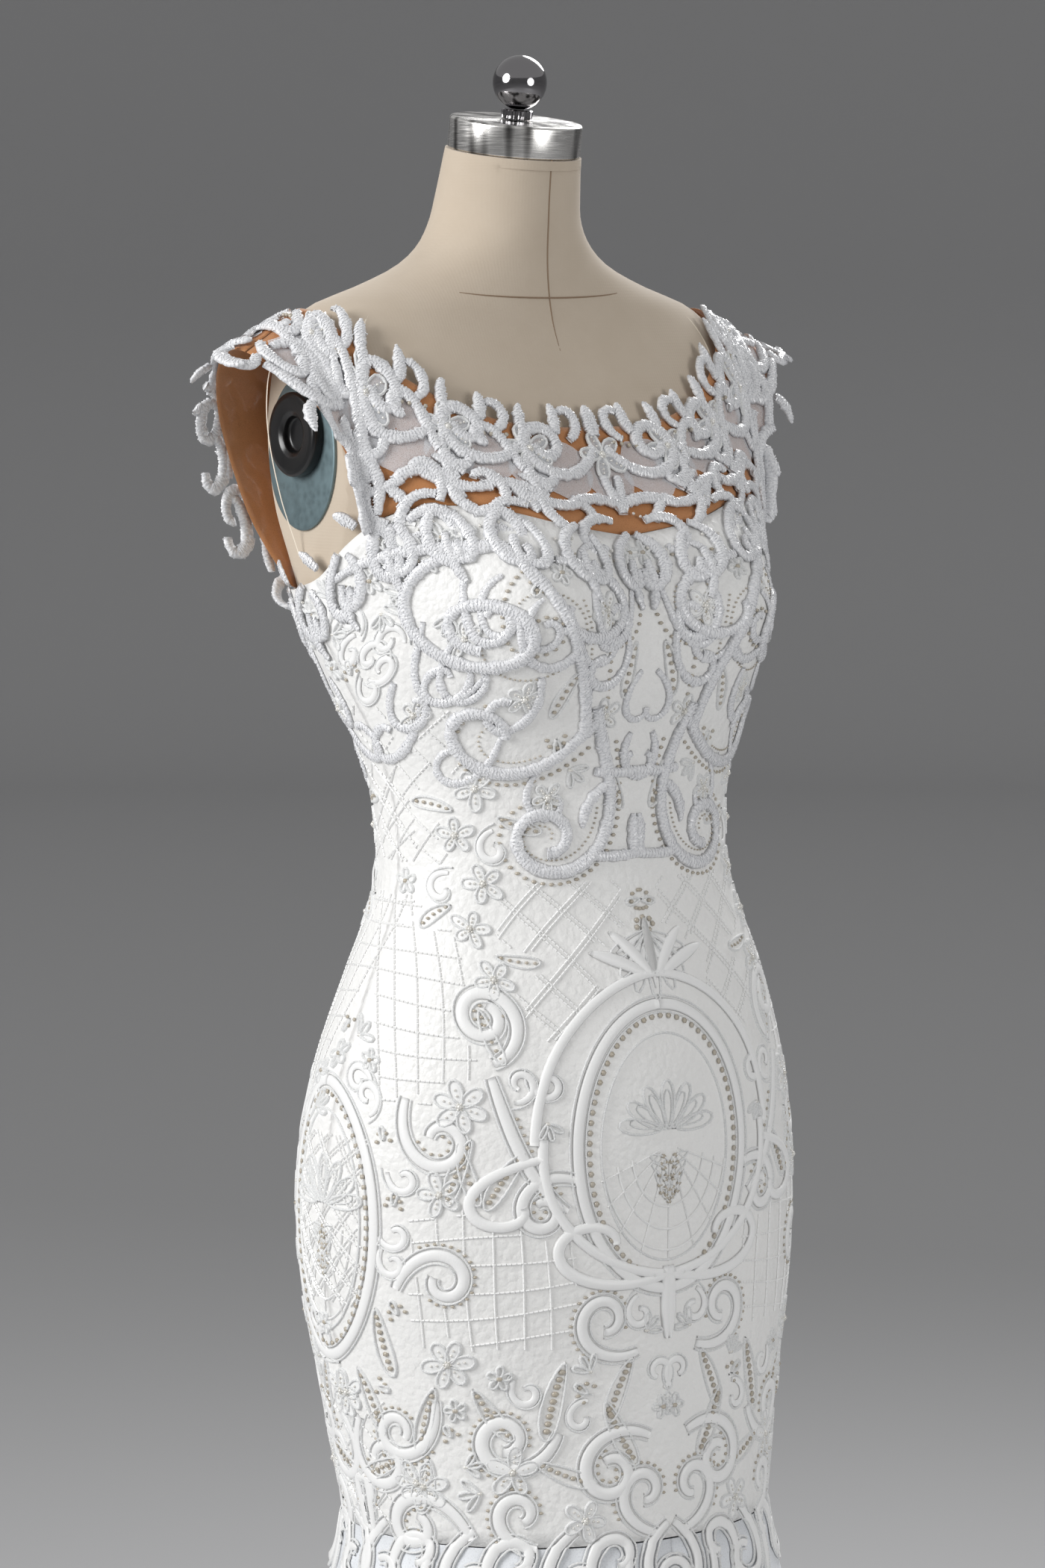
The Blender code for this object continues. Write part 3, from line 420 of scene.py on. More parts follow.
def make_front_columns():
    """The turns and reach of the applique's own measure, which follows one row of the front panel."""
    gap = math.degrees(SEAM_GAP / float(smooth_values(BODY_COLUMNS[0], BODY_COLUMNS[1], WAIST)))
    turns = np.linspace(-90 + gap, 90 - gap, FRONT_COLUMNS + 1)
    down = (SHEATH_ROWS // 2 / SHEATH_ROWS) ** SHEATH_SPREAD
    tops = bodice_top(turns)
    row = off_body(turns, tops + (SHEATH_HEM - tops) * down, np.full(turns.shape, CLOTH_CLEARANCE))
    steps = np.linalg.norm(np.diff(row, axis=0), axis=1)
    return turns, np.concatenate([[0.0], np.cumsum(steps)])


FRONT_TURNS, FRONT_REACH = make_front_columns()


def on_applique(along, down, lift):
    """A flat drawing of the applique laid on the front, in the applique's own measure."""
    reach = FRONT_REACH[-1] / 2 + np.asarray(along, float) * PANEL_STRETCH
    return on_cloth(np.interp(reach, FRONT_REACH, FRONT_TURNS), APPLIQUE_TOP - np.asarray(down, float), lift)


class YokeCloth:
    """A fine grid of the sheer yoke between two stations, from its neckline down."""

    ROWS = 18
    tree = None

    def __init__(self, first, last, columns):
        if YokeCloth.tree is None:
            YokeCloth.tree = self.body_tree()
        at = np.linspace(first, last, columns + 1)
        far, side = np.abs(at), np.where(at < 0, -1.0, 1.0)
        places = np.arange(len(YOKE))
        neck = np.array([self.pushed_off(row[:3], CLOTH_CLEARANCE) for row in YOKE])
        free = np.array([self.on_seam(r.seam_turn) if r.seam_turn is not None else r[-3:] for r in YOKE], float)
        neck_line = np.stack([smooth_values(places, neck[:, a], far) for a in range(3)], -1)
        free_line = np.stack([smooth_values(places, free[:, a], far) for a in range(3)], -1)
        before = np.minimum(far.astype(int), len(YOKE) - 2)
        seams = np.array([np.nan if r.seam_turn is None else r.seam_turn for r in YOKE])
        seam_turn = seams[before] + (seams[before + 1] - seams[before]) * (far - before)
        is_free = np.isnan(seam_turn)
        edge = free_line.copy()
        edge[~is_free] = self.on_seam(seam_turn[~is_free])
        rows = []
        for k in range(self.ROWS + 1):
            share = k / self.ROWS
            clearance = CLOTH_CLEARANCE + YOKE_EASE * math.sin(math.pi * min(1.0, share + 0.3) / 1.3)
            row = neck_line * (1 - share) + edge * share
            for i, point in enumerate(row):
                if share < 1 or is_free[i]:
                    row[i] = self.pushed_off(point, clearance)
            rows.append(row * np.stack([side, np.ones_like(side), np.ones_like(side)], -1))
        self.points = np.array(rows)
        down = np.gradient(self.points, axis=0)
        across = np.gradient(self.points, axis=1)
        self.facings = unit(np.cross(down, across))
        measured = self.points[self.ROWS // 3]
        self.reach = np.concatenate([[0.0], np.cumsum(np.linalg.norm(np.diff(measured, axis=0), axis=1))])

    @staticmethod
    def body_tree():
        turns, heights = np.arange(0, 360, 3.0), np.arange(1200.0, 1480.0, 4.0)
        points = body_points(turns[None, :], heights[:, None]).reshape(-1, 3)
        faces = []
        for k in range(len(heights) - 1):
            for i in range(len(turns)):
                j = (i + 1) % len(turns)
                a, b = k * len(turns), (k + 1) * len(turns)
                faces.append((a + i, a + j, b + j, b + i))
        return BVHTree.FromPolygons([Vector(p) for p in points], faces)

    @staticmethod
    def pushed_off(point, distance):
        point = Vector(point)
        place, normal, _, _ = YokeCloth.tree.find_nearest(point)
        return np.array(place + normal * distance if (point - place).dot(normal) < distance else point)

    @staticmethod
    def on_seam(turn):
        turn = np.asarray(turn, float)
        return off_body(turn, bodice_top(turn) + YOKE_SEAM_GAP, np.full(turn.shape, CLOTH_CLEARANCE))

    def place(self, origin):
        """A function that lays a flat drawing of the border on this cloth."""
        last_row, last_column = self.points.shape[0] - 1, self.points.shape[1] - 1

        def lay(along, down, lift):
            reach = origin + np.asarray(along, float)
            column = np.interp(reach, self.reach, np.arange(last_column + 1))
            over = (reach - np.clip(reach, 0, self.reach[-1]))[..., None]
            row = np.asarray(down, float) / BORDER_DEPTH * last_row
            above = np.minimum(row, 0)[..., None]
            at = from_grid(self.points, row, column)
            facing = unit(from_grid(self.facings, row, column))
            first, last = np.zeros_like(row), np.full_like(row, last_row)
            up = from_grid(self.points, first + 1, column) - from_grid(self.points, first, column)
            past = from_grid(self.points, last, column) - from_grid(self.points, last - 1, column)
            at = at + past * np.maximum(row - last_row, 0)[..., None]
            beyond = from_grid(self.points, row, column + 0.5) - from_grid(self.points, row, column - 0.5)
            lift = np.asarray(lift, float) + np.clip(row / last_row, 0, 1) * (SATIN_THICK - NET_THICK)
            return at + up * above + unit(beyond) * over + facing * lift[..., None], facing

        return lay


# Small helpers for meshes

class MeshMaker:
    """Gathers points, faces and UVs in millimetres, to be made one mesh."""

    def __init__(self):
        self.points, self.faces, self.uvs, self.count = [], [], [], 0

    def add(self, points, faces, uvs):
        self.points.append(np.asarray(points, float).reshape(-1, 3))
        self.uvs.append(np.asarray(uvs, float).reshape(-1, 2))
        self.faces += [tuple(int(i) + self.count for i in face) for face in faces]
        self.count += len(self.points[-1])

    def grid(self, points, uvs=None, closed=False, flip=False):
        """A grid of points as quads."""
        points = np.asarray(points)
        rows, columns = points.shape[:2]
        if uvs is None:
            uvs = np.zeros((rows, columns, 2))
        k = np.arange(rows - 1)[:, None]
        i = np.arange(columns if closed else columns - 1)[None, :]
        j = (i + 1) % columns
        quads = np.stack([k * columns + i, (k + 1) * columns + i, (k + 1) * columns + j, k * columns + j], -1)
        quads = quads.reshape(-1, 4)
        self.add(points, (quads[:, ::-1] if flip else quads).tolist(), uvs)

    def build(self, name, *materials, smooth=True):
        mesh = bpy.data.meshes.new(name)
        points = np.concatenate(self.points) * MM
        mesh.from_pydata(points.tolist(), [], self.faces)
        layer = mesh.uv_layers.new(name="UVMap")
        loops = np.zeros(len(mesh.loops), int)
        mesh.loops.foreach_get("vertex_index", loops)
        layer.data.foreach_set("uv", (np.concatenate(self.uvs)[loops] * MM).astype(np.float32).ravel())
        for material in materials:
            mesh.materials.append(material)
        if smooth:
            mesh.shade_smooth()
        made = bpy.data.objects.new(name, mesh)
        bpy.context.scene.collection.objects.link(made)
        return made


ROUND_CORD = [(-1, -0.1), (-0.86, 0.55), (-0.45, 0.93), (0, 1.0), (0.45, 0.93), (0.86, 0.55), (1, -0.1)]
CLOSED_CORD = [(-1, 0.08), (-0.68, 0.78), (0, 1.0), (0.68, 0.78), (1, 0.08), (0, -0.12)]
THIN_CORD = [(-1, -0.15), (-0.5, 0.88), (0.5, 0.88), (1, -0.15)]


def sweep(maker, centre, facing, half, rise, profile, closed=False):
    """A cord of a given profile along points on the cloth."""
    tangent = unit(np.gradient(centre, axis=0))
    side = unit(np.cross(tangent, facing))
    across = np.array([p[0] for p in profile])
    up = np.array([p[1] for p in profile])
    half, rise = np.broadcast_to(half, len(centre)), np.broadcast_to(rise, len(centre))
    points = centre[:, None] + side[:, None] * (across[None] * half[:, None])[..., None]
    points = points + facing[:, None] * (up[None] * rise[:, None])[..., None]
    lengths = np.concatenate([[0.0], np.cumsum(np.linalg.norm(np.diff(centre, axis=0), axis=1))])
    uvs = np.stack(np.broadcast_arrays(lengths[:, None], across[None] * half[:, None]), -1)
    maker.grid(points, uvs, closed=closed, flip=True)
    if closed:
        first = maker.count - points.shape[0] * points.shape[1]
        ring = list(range(points.shape[1]))
        maker.faces.append(tuple(first + i for i in ring))
        last = first + (points.shape[0] - 1) * points.shape[1]
        maker.faces.append(tuple(last + i for i in reversed(ring)))


def stroke_line(stroke, step=2.2):
    """The centre points and half widths of a stroke, drawn flat."""
    count = max(5, math.ceil(stroke.length / step))
    edges = np.linspace(0, 1, count + 1)
    middles = (edges[1:] + edges[:-1]) / 2
    ds = stroke.length / count
    turns = np.radians(stroke.bend + (stroke.bend_end - stroke.bend) * middles ** 1.4) * ds
    heading = math.radians(stroke.heading) + np.cumsum(turns) - turns / 2
    along = stroke.along + np.concatenate([[0.0], np.cumsum(np.cos(heading) * ds)])
    across = stroke.across + np.concatenate([[0.0], np.cumsum(np.sin(heading) * ds)])
    ends = np.where(edges < 0.5, stroke.start_width, stroke.end_width)
    half = (ends + (stroke.width - ends) * np.maximum(0, np.sin(math.pi * edges)) ** 0.7) / 2
    return along, across, half


def petal_loop(along, across, turn, length, width, points=14):
    """The outline of a petal that starts at a point, drawn flat."""
    angles = np.linspace(0, 2 * math.pi, points)
    out = length * (1 - np.cos(angles)) / 2
    side = width / 2 * np.sin(angles) * (0.55 + 0.45 * (1 - np.cos(angles)) / 2)
    heading = math.radians(turn)
    return (
        along + out * math.cos(heading) - side * math.sin(heading),
        across + out * math.sin(heading) + side * math.cos(heading),
    )


def finish_piece(piece, replaced=()):
    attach(piece, BODY_NAME)
    if replaced:
        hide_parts(*replaced)
    return piece


def thicken(piece, thick, offset=1.0):
    solid = piece.modifiers.new("Thickness", "SOLIDIFY")
    solid.thickness = thick * MM
    solid.offset = offset
    solid.use_even_offset = False


def turned(maker, profile, steps, place):
    """A turned piece from (radius, height) pairs, listed down its outer side from the top."""
    angles = np.linspace(0, 2 * math.pi, steps, endpoint=False)
    radius = np.array([p[0] for p in profile], float)
    height = np.array([p[1] for p in profile], float)
    ring = np.stack([np.cos(angles), np.sin(angles)], -1)
    flat = ring[None] * np.maximum(radius, 1e-3)[:, None, None]
    points = np.concatenate([flat, np.broadcast_to(height[:, None, None], (len(profile), steps, 1))], -1)
    matrix = np.array(place)
    points = points @ matrix[:3, :3].T + matrix[:3, 3]
    maker.grid(points, closed=True)


def rounded(profile, radius, steps=3):
    """A profile with its outer corners rounded."""
    points = [Vector(p) for p in profile]
    made = [points[0]]
    for before, corner, after in zip(points, points[1:], points[2:]):
        reach = min(radius, (before - corner).length / 2, (after - corner).length / 2)
        start = corner + (before - corner).normalized() * reach
        end = corner + (after - corner).normalized() * reach
        for k in range(steps + 1):
            t = k / steps
            made.append(start * (1 - t) ** 2 + corner * 2 * t * (1 - t) + end * t ** 2)
    return [tuple(p) for p in made + [points[-1]]]


# Beads and sequins

def bead_tree():
    """A node tree that sets a bead on every point, faced and turned by the point's own attributes."""
    tree = bpy.data.node_groups.new("Sew on beads", "GeometryNodeTree")
    tree.is_modifier = True
    tree.interface.new_socket(name="Points", in_out="INPUT", socket_type="NodeSocketGeometry")
    sockets = {}
    for name, kind, default in (
        ("Bead radius", "NodeSocketFloat", 0.001),
        ("Bead length", "NodeSocketFloat", 0.002),
        ("Is bugle", "NodeSocketBool", False),
        ("Bugle sides", "NodeSocketInt", 5),
        ("Bead material", "NodeSocketMaterial", None),
    ):
        sockets[name] = tree.interface.new_socket(name=name, in_out="INPUT", socket_type=kind)
        if default is not None:
            sockets[name].default_value = default
    tree.interface.new_socket(name="Beads", in_out="OUTPUT", socket_type="NodeSocketGeometry")
    nodes, links = tree.nodes, tree.links
    source, result = nodes.new("NodeGroupInput"), nodes.new("NodeGroupOutput")

    def add(kind, settings=None, **inputs):
        node = nodes.new(kind)
        for key, value in (settings or {}).items():
            setattr(node, key, value)
        for key, value in inputs.items():
            socket = node.inputs[key.replace("_", " ")]
            if isinstance(value, bpy.types.NodeSocket):
                links.new(value, socket)
            else:
                socket.default_value = value
        return node

    def own(name):
        return add("GeometryNodeInputNamedAttribute", {"data_type": "FLOAT_VECTOR"}, Name=name).outputs["Attribute"]

    ball = add("GeometryNodeMeshIcoSphere", Radius=source.outputs["Bead radius"], Subdivisions=1)
    smooth = add("GeometryNodeSetShadeSmooth", Geometry=ball.outputs["Mesh"])
    bugle = add(
        "GeometryNodeMeshCylinder",
        {"fill_type": "NGON"},
        Vertices=source.outputs["Bugle sides"],
        Radius=source.outputs["Bead radius"],
        Depth=source.outputs["Bead length"],
    )
    laid = add("GeometryNodeTransform", Geometry=bugle.outputs["Mesh"], Rotation=(0, math.pi / 2, 0))
    shape = add(
        "GeometryNodeSwitch",
        {"input_type": "GEOMETRY"},
        Switch=source.outputs["Is bugle"],
        **{"False": smooth.outputs["Geometry"], "True": laid.outputs["Geometry"]},
    )
    faced = add("FunctionNodeAlignRotationToVector", {"axis": "Z"}, Vector=own("facing"))
    turned_to = add(
        "FunctionNodeAlignRotationToVector",
        {"axis": "X", "pivot_axis": "Z"},
        Rotation=faced.outputs["Rotation"],
        Vector=own("lies"),
    )
    placed = add(
        "GeometryNodeInstanceOnPoints",
        Points=source.outputs["Points"],
        Instance=shape.outputs["Output"],
        Rotation=turned_to.outputs["Rotation"],
        Scale=own("size"),
    )
    real = add("GeometryNodeRealizeInstances", Geometry=placed.outputs["Instances"])
    coloured = add(
        "GeometryNodeSetMaterial", Geometry=real.outputs["Geometry"], Material=source.outputs["Bead material"]
    )
    links.new(coloured.outputs["Geometry"], result.inputs["Beads"])
    return tree, {name: socket.identifier for name, socket in sockets.items()}


class BeadRows:
    """Gathers where beads go: place, facing, the way they lie and their size."""

    def __init__(self):
        self.rows = []

    def add(self, place, facing, lies, size):
        count = len(place)
        size = np.broadcast_to(np.asarray(size, float), (count, 3))
        self.rows.append([np.asarray(place), np.asarray(facing), np.broadcast_to(lies, (count, 3)), size])

    def count(self):
        return sum(len(row[0]) for row in self.rows)

    def sew(self, name, material, radius, length=0.0, sides=0):
        """Makes the beads, each at its place, as one mesh."""
        mesh = bpy.data.meshes.new(name + "_points")
        places = np.concatenate([row[0] for row in self.rows]) * MM
        mesh.from_pydata(places.tolist(), [], [])
        for key, column in (("facing", 1), ("lies", 2), ("size", 3)):
            values = np.concatenate([row[column] for row in self.rows]).astype(np.float32)
            mesh.attributes.new(key, "FLOAT_VECTOR", "POINT").data.foreach_set("vector", values.ravel())
        holder = bpy.data.objects.new(name, mesh)
        bpy.context.scene.collection.objects.link(holder)
        tree, sockets = bead_tree()
        modifier = holder.modifiers.new("Sew on beads", "NODES")
        modifier.node_group = tree
        modifier[sockets["Bead radius"]] = radius * MM
        modifier[sockets["Bead length"]] = max(length, 0.1) * MM
        modifier[sockets["Is bugle"]] = sides > 0
        modifier[sockets["Bugle sides"]] = max(sides, 3)
        modifier[sockets["Bead material"]] = material
        holder.update_tag()
        view_layer = bpy.context.view_layer
        view_layer.update()
        made = bpy.data.meshes.new_from_object(holder.evaluated_get(bpy.context.evaluated_depsgraph_get()))
        holder.modifiers.clear()
        made.name = name
        holder.data = made
        for key in ("facing", "lies", "size"):
            if key in made.attributes:
                made.attributes.remove(made.attributes[key])
        return holder


# Materials

def linear(hex_colour):
    """An sRGB hex colour as a linear one."""
    values = [int(hex_colour[i:i + 2], 16) / 255 for i in (1, 3, 5)]
    return tuple(v / 12.92 if v <= 0.04045 else ((v + 0.055) / 1.055) ** 2.4 for v in values)


class Finish:
    """A material under construction: its Principled shader, and the nodes added to it."""

    def __init__(self, name, colour, roughness, **sockets):
        self.material = bpy.data.materials.new(name)
        self.material.use_nodes = True
        self.nodes, self.links = self.material.node_tree.nodes, self.material.node_tree.links
        self.shader = self.nodes["Principled BSDF"]
        self.shader.inputs["Base Color"].default_value = (*colour, 1)
        self.shader.inputs["Roughness"].default_value = roughness
        for key, value in sockets.items():
            self.shader.inputs[key.replace("_", " ")].default_value = value

    def add(self, kind, settings=None, inputs=None):
        """Adds a node with its settings, values and links."""
        node = self.nodes.new(kind)
        for key, value in (settings or {}).items():
            setattr(node, key, value)
        for key, value in (inputs or {}).items():
            if isinstance(value, bpy.types.NodeSocket):
                self.links.new(value, node.inputs[key])
            else:
                node.inputs[key].default_value = value
        return node

    def where(self, kind="Object", scale=(1, 1, 1), rotation=(0, 0, 0)):
        """Object coordinates or a piece's own UV map, turned and scaled."""
        source = self.add("ShaderNodeTexCoord")
        return self.add(
            "ShaderNodeMapping", None, {"Vector": source.outputs[kind], "Scale": scale, "Rotation": rotation}
        ).outputs["Vector"]

    def bump(self, height, depth_mm, strength=1.0):
        """Relief of a real depth, added to any that is there."""
        inputs = {"Height": height, "Distance": depth_mm * MM, "Strength": strength}
        before = self.shader.inputs["Normal"]
        if before.is_linked:
            inputs["Normal"] = before.links[0].from_socket
        node = self.add("ShaderNodeBump", None, inputs)
        self.links.new(node.outputs["Normal"], before)

    def tint(self, factor, colour_a, colour_b):
        """The base colour, mixed between two by a pattern."""
        mix = self.add(
            "ShaderNodeMix", {"data_type": "RGBA"}, {0: factor, 6: (*colour_a, 1), 7: (*colour_b, 1)}
        )
        self.links.new(mix.outputs[2], self.shader.inputs["Base Color"])

    def ranged(self, value, low, high, to_low, to_high):
        node = self.add(
            "ShaderNodeMapRange", None, {0: value, 1: low, 2: high, 3: to_low, 4: to_high}
        )
        return node.outputs[0]

    def noise(self, size_mm, detail=2.0, vector=None):
        vector = vector or self.where()
        inputs = {"Vector": vector, "Scale": 1000.0 / size_mm, "Detail": detail}
        return self.add("ShaderNodeTexNoise", None, inputs).outputs["Fac"]

    def cells(self, size_mm, vector=None, feature="F1"):
        vector = vector or self.where()
        inputs = {"Vector": vector, "Scale": 1000.0 / size_mm}
        return self.add("ShaderNodeTexVoronoi", {"feature": feature}, inputs).outputs["Distance"]


def duchess_satin(colours):
    # Polyester duchess satin: long floats give a soft glow along folds, over a weave too fine to see
    finish = Finish("Duchess satin", linear(colours.satin), 0.46, Sheen_Weight=0.25, Sheen_Roughness=0.4)
    finish.tint(finish.noise(60), linear(colours.satin), linear(colours.satin_shade))
    # The weave is drawn at 1.2 mm, coarser than it is, so that it shows
    finish.bump(finish.noise(1.2), 0.05, 0.5)
    # Fine flat embroidery between the motifs
    finish.bump(finish.cells(5.0), -0.9, 0.6)
    finish.bump(finish.noise(2.6, 2.0), 0.8, 0.6)
    finish.bump(finish.noise(26), 0.6, 0.5)
    return finish.material


def lace_cord(colours):
    # Rayon lace cord: twisted matt thread that catches light grain by grain
    finish = Finish("Rayon lace cord", linear(colours.lace), 0.62, Sheen_Weight=0.3)
    grain = finish.cells(0.9)
    # Painted shade: the cord is tinted towards a darker colour between its threads, at the cells' edges
    finish.tint(finish.ranged(grain, 0.0, 0.7, 0, 1), linear(colours.lace), linear(colours.lace_painted_gap_shade))
    finish.bump(grain, 0.3, 0.8)
    return finish.material


def padded_thread(colours):
    # Satin stitch over padding: smooth thread laid side by side, so it is glossier than the cord
    finish = Finish("Padded satin stitch", linear(colours.thread), 0.42, Sheen_Weight=0.2)
    stitches = finish.where("UV", (1, 0.12, 1))
    finish.bump(finish.noise(0.7, 1.0, stitches), 0.16, 0.7)
    return finish.material


def bugle_cord(colours):
    # Cord covered in tiny silvery-white glass bugles, sewn across it in rows
    finish = Finish("Bugle beaded cord", linear(colours.beaded), 0.36, Coat_Weight=0.35, Coat_Roughness=0.2)
    rows = finish.where("UV", (1, 0.42, 1), (0, 0, math.radians(24)))
    beads = finish.cells(1.25, rows)
    # Painted shade: the cord is darkened in the gaps between the bugle rows, the hollows that the bump sinks
    finish.tint(finish.ranged(beads, 0.1, 0.75, 0, 1), linear(colours.beaded), linear(colours.bugle_tone_and_painted_gap_shade))
    finish.bump(beads, -0.6, 0.9)
    return finish.material


def glass_bead(colours):
    # Silver-lined glass seed bead: a bright point of light on a milky body
    finish = Finish("Silver-lined glass bead", linear(colours.bead), 0.12, Coat_Weight=0.6, Coat_Roughness=0.05)
    finish.shader.inputs["Metallic"].default_value = 0.15
    finish.tint(finish.noise(9), linear(colours.bead), linear(colours.bead_shade))
    return finish.material


def clear_sequin(colours):
    # Clear cup sequin and flat oval bead: the cloth's shade shows through, so it looks greyish-beige
    finish = Finish("Clear moonlight sequin", linear(colours.sequin), 0.2, Coat_Weight=0.7, Coat_Roughness=0.08)
    finish.tint(finish.noise(14), linear(colours.sequin), linear(colours.sequin_warm))
    return finish.material


def nude_net(colours):
    # Nude power net: a fine stretch mesh that lets the form's colour through
    finish = Finish("Nude power net", linear(colours.net), 0.6, Sheen_Weight=0.3)
    # The mesh is drawn at 1.1 mm, coarser than it is, so that it shows
    mesh = finish.cells(1.1, feature="DISTANCE_TO_EDGE")
    finish.bump(mesh, -0.12, 0.6)
    alpha = finish.ranged(mesh, 0.05, 0.5, colours.net_cover, colours.net_cover - 0.16)
    finish.links.new(alpha, finish.shader.inputs["Alpha"])
    finish.tint(finish.noise(35), linear(colours.net), linear(colours.net_shade))
    return finish.material


def backing_tulle(colours):
    # White illusion tulle left inside the lace scrolls: it greys the nude net under it
    finish = Finish("White illusion tulle", linear(colours.tulle), 0.7)
    mesh = finish.cells(0.9, feature="DISTANCE_TO_EDGE")
    alpha = finish.ranged(mesh, 0.02, 0.4, 0.62, 0.34)
    finish.links.new(alpha, finish.shader.inputs["Alpha"])
    return finish.material


def flounce_tulle(colours):
    # Layers of soft nylon tulle: a cool, slightly see-through white
    finish = Finish("Layered nylon tulle", linear(colours.tulle), 0.6, Sheen_Weight=0.4)
    mesh = finish.cells(1.6, feature="DISTANCE_TO_EDGE")
    finish.bump(mesh, -0.15, 0.5)
    alpha = finish.ranged(mesh, 0.03, 0.5, 0.97, 0.82)
    finish.links.new(alpha, finish.shader.inputs["Alpha"])
    return finish.material


def linen_cover(colours):
    # Plain woven linen over padding: a dry, even beige with a fine slub
    finish = Finish("Linen form cover", linear(colours.linen), 0.85, Sheen_Weight=0.2)
    # Threads are drawn 1 mm apart, about twice as coarse as they are, so that they show
    warp = finish.add("ShaderNodeTexWave", {"bands_direction": "Z"}, {"Vector": finish.where(), "Scale": 160.0,
                      "Distortion": 1.5}).outputs["Fac"]
    weft = finish.add("ShaderNodeTexWave", {"bands_direction": "X"}, {"Vector": finish.where(), "Scale": 160.0,
                      "Distortion": 1.5}).outputs["Fac"]
    finish.bump(warp, 0.06, 0.4)
    finish.bump(weft, 0.06, 0.4)
    finish.tint(finish.noise(22, 4.0), linear(colours.linen), linear(colours.linen_shade))
    return finish.material


def seam_thread(name, colour):
    # Sewing thread in a form's seam
    finish = Finish(name, linear(colour), 0.8)
    finish.bump(finish.noise(0.8), 0.1, 0.6)
    return finish.material


def brushed_steel(colours):
    # Stainless steel, turned and brushed: fine rings that draw reflections out along the band
    finish = Finish("Brushed stainless steel", linear(colours.steel), 0.24, Metallic=1.0, Anisotropic=0.6)
    rings = finish.noise(0.5, 2.0, finish.where("Object", (0.04, 0.04, 1)))
    rough = finish.ranged(rings, 0.3, 0.7, 0.17, 0.32)
    # Upright streaks, a painted reflection of the room round the turned band: the base colour is painted dark in bands
    streaks = finish.noise(15, 1.0, finish.where("Object", (1, 1, 0.02)))
    finish.tint(finish.ranged(streaks, 0.38, 0.52, 0, 1), linear(colours.steel_painted_reflection_dark), linear(colours.steel))
    finish.links.new(rough, finish.shader.inputs["Roughness"])
    finish.bump(rings, 0.003, 0.2)
    return finish.material


def polished_steel(colours):
    # Polished chromed steel: a dark mirror
    finish = Finish("Polished chrome", linear(colours.chrome), 0.06, Metallic=1.0)
    smears = finish.ranged(finish.noise(18, 3.0), 0.4, 0.8, 0.05, 0.16)
    finish.links.new(smears, finish.shader.inputs["Roughness"])
    return finish.material


def zinc_plate(colours):
    # Zinc-plated steel sheet: a dull blue-grey with faint cloudy spangle
    finish = Finish("Zinc-plated steel", linear(colours.zinc), 0.45, Metallic=0.75)
    finish.tint(finish.noise(7, 4.0), linear(colours.zinc), linear(colours.zinc_shade))
    rough = finish.ranged(finish.cells(5), 0.0, 0.8, 0.38, 0.55)
    finish.links.new(rough, finish.shader.inputs["Roughness"])
    return finish.material


def black_plastic(colours):
    # Moulded ABS: near black with a soft gloss
    finish = Finish("Black moulded ABS", linear(colours.black), 0.3, Coat_Weight=0.2, Coat_Roughness=0.2)
    finish.bump(finish.noise(0.8), 0.02, 0.4)
    return finish.material


MATERIALS = {}


def material(make):
    """Each material is made once, when a piece first asks for it."""
    if make.__name__ not in MATERIALS:
        MATERIALS[make.__name__] = make(bpy.context.scene.dress_colours)
    return MATERIALS[make.__name__]


# The dress form and its metalwork

def form_seam(maker, turns, heights, half, rise):
    facing = body_facing(turns, heights)
    points = off_body(turns, heights, np.full(len(turns), -FORM_INSET + 0.15))
    sweep(maker, points, facing, half, rise, THIN_CORD)


def neck_place(height):
    """The place and tilt of a piece this far up the neck's own axis from the neck's top, in millimetres."""
    axis = Vector((0, -math.sin(NECK_TILT), math.cos(NECK_TILT)))
    return Matrix.Translation(Vector((0, NECK_CENTRE_Y, NECK_TOP)) + axis * height) @ Matrix.Rotation(NECK_TILT, 4, "X")


def make_form_cover():
    columns = 112
    turns = np.arange(columns) * 360.0 / columns
    heights = np.concatenate([np.linspace(FORM_BOTTOM, 1300, 46), np.linspace(1306, 1520, 44)])
    points = off_body(turns[None, :], heights[:, None], np.full((len(heights), columns), -FORM_INSET))
    points[..., 2] = heights[:, None]
    points[-1, :, 2] = NECK_TOP + (points[-1, :, 1] - NECK_CENTRE_Y) * math.tan(NECK_TILT)
    points[-2, :, 2] = np.minimum(points[-2, :, 2], points[-1, :, 2] - 3)
    points[-3, :, 2] = np.minimum(points[-3, :, 2], points[-2, :, 2] - 3)
    maker = MeshMaker()
    maker.grid(points[::-1], closed=True)
    top, bottom = maker.count - len(heights) * columns, maker.count - columns
    maker.faces.append(tuple(top + i for i in range(columns)))
    maker.faces.append(tuple(bottom + i for i in reversed(range(columns))))
    form = maker.build("form_cover", material(linen_cover))
    bm = bmesh.new()
    bm.from_mesh(form.data)
    for side in (1, -1):
        cut = bmesh.ops.bisect_plane(
            bm, geom=bm.verts[:] + bm.edges[:] + bm.faces[:], plane_co=(side * ARM_CUT * MM, 0, 0),
            plane_no=(side, 0, 0), clear_outer=True, dist=1e-6,
        )
        bmesh.ops.contextual_create(bm, geom=[e for e in cut["geom_cut"] if isinstance(e, bmesh.types.BMEdge)])
    bmesh.ops.recalc_face_normals(bm, faces=bm.faces[:])
    bm.to_mesh(form.data)
    bm.free()
    form.data.set_sharp_from_angle(angle=math.radians(40))
    finish_piece(form, ["form_torso"])
    make_form_seams()


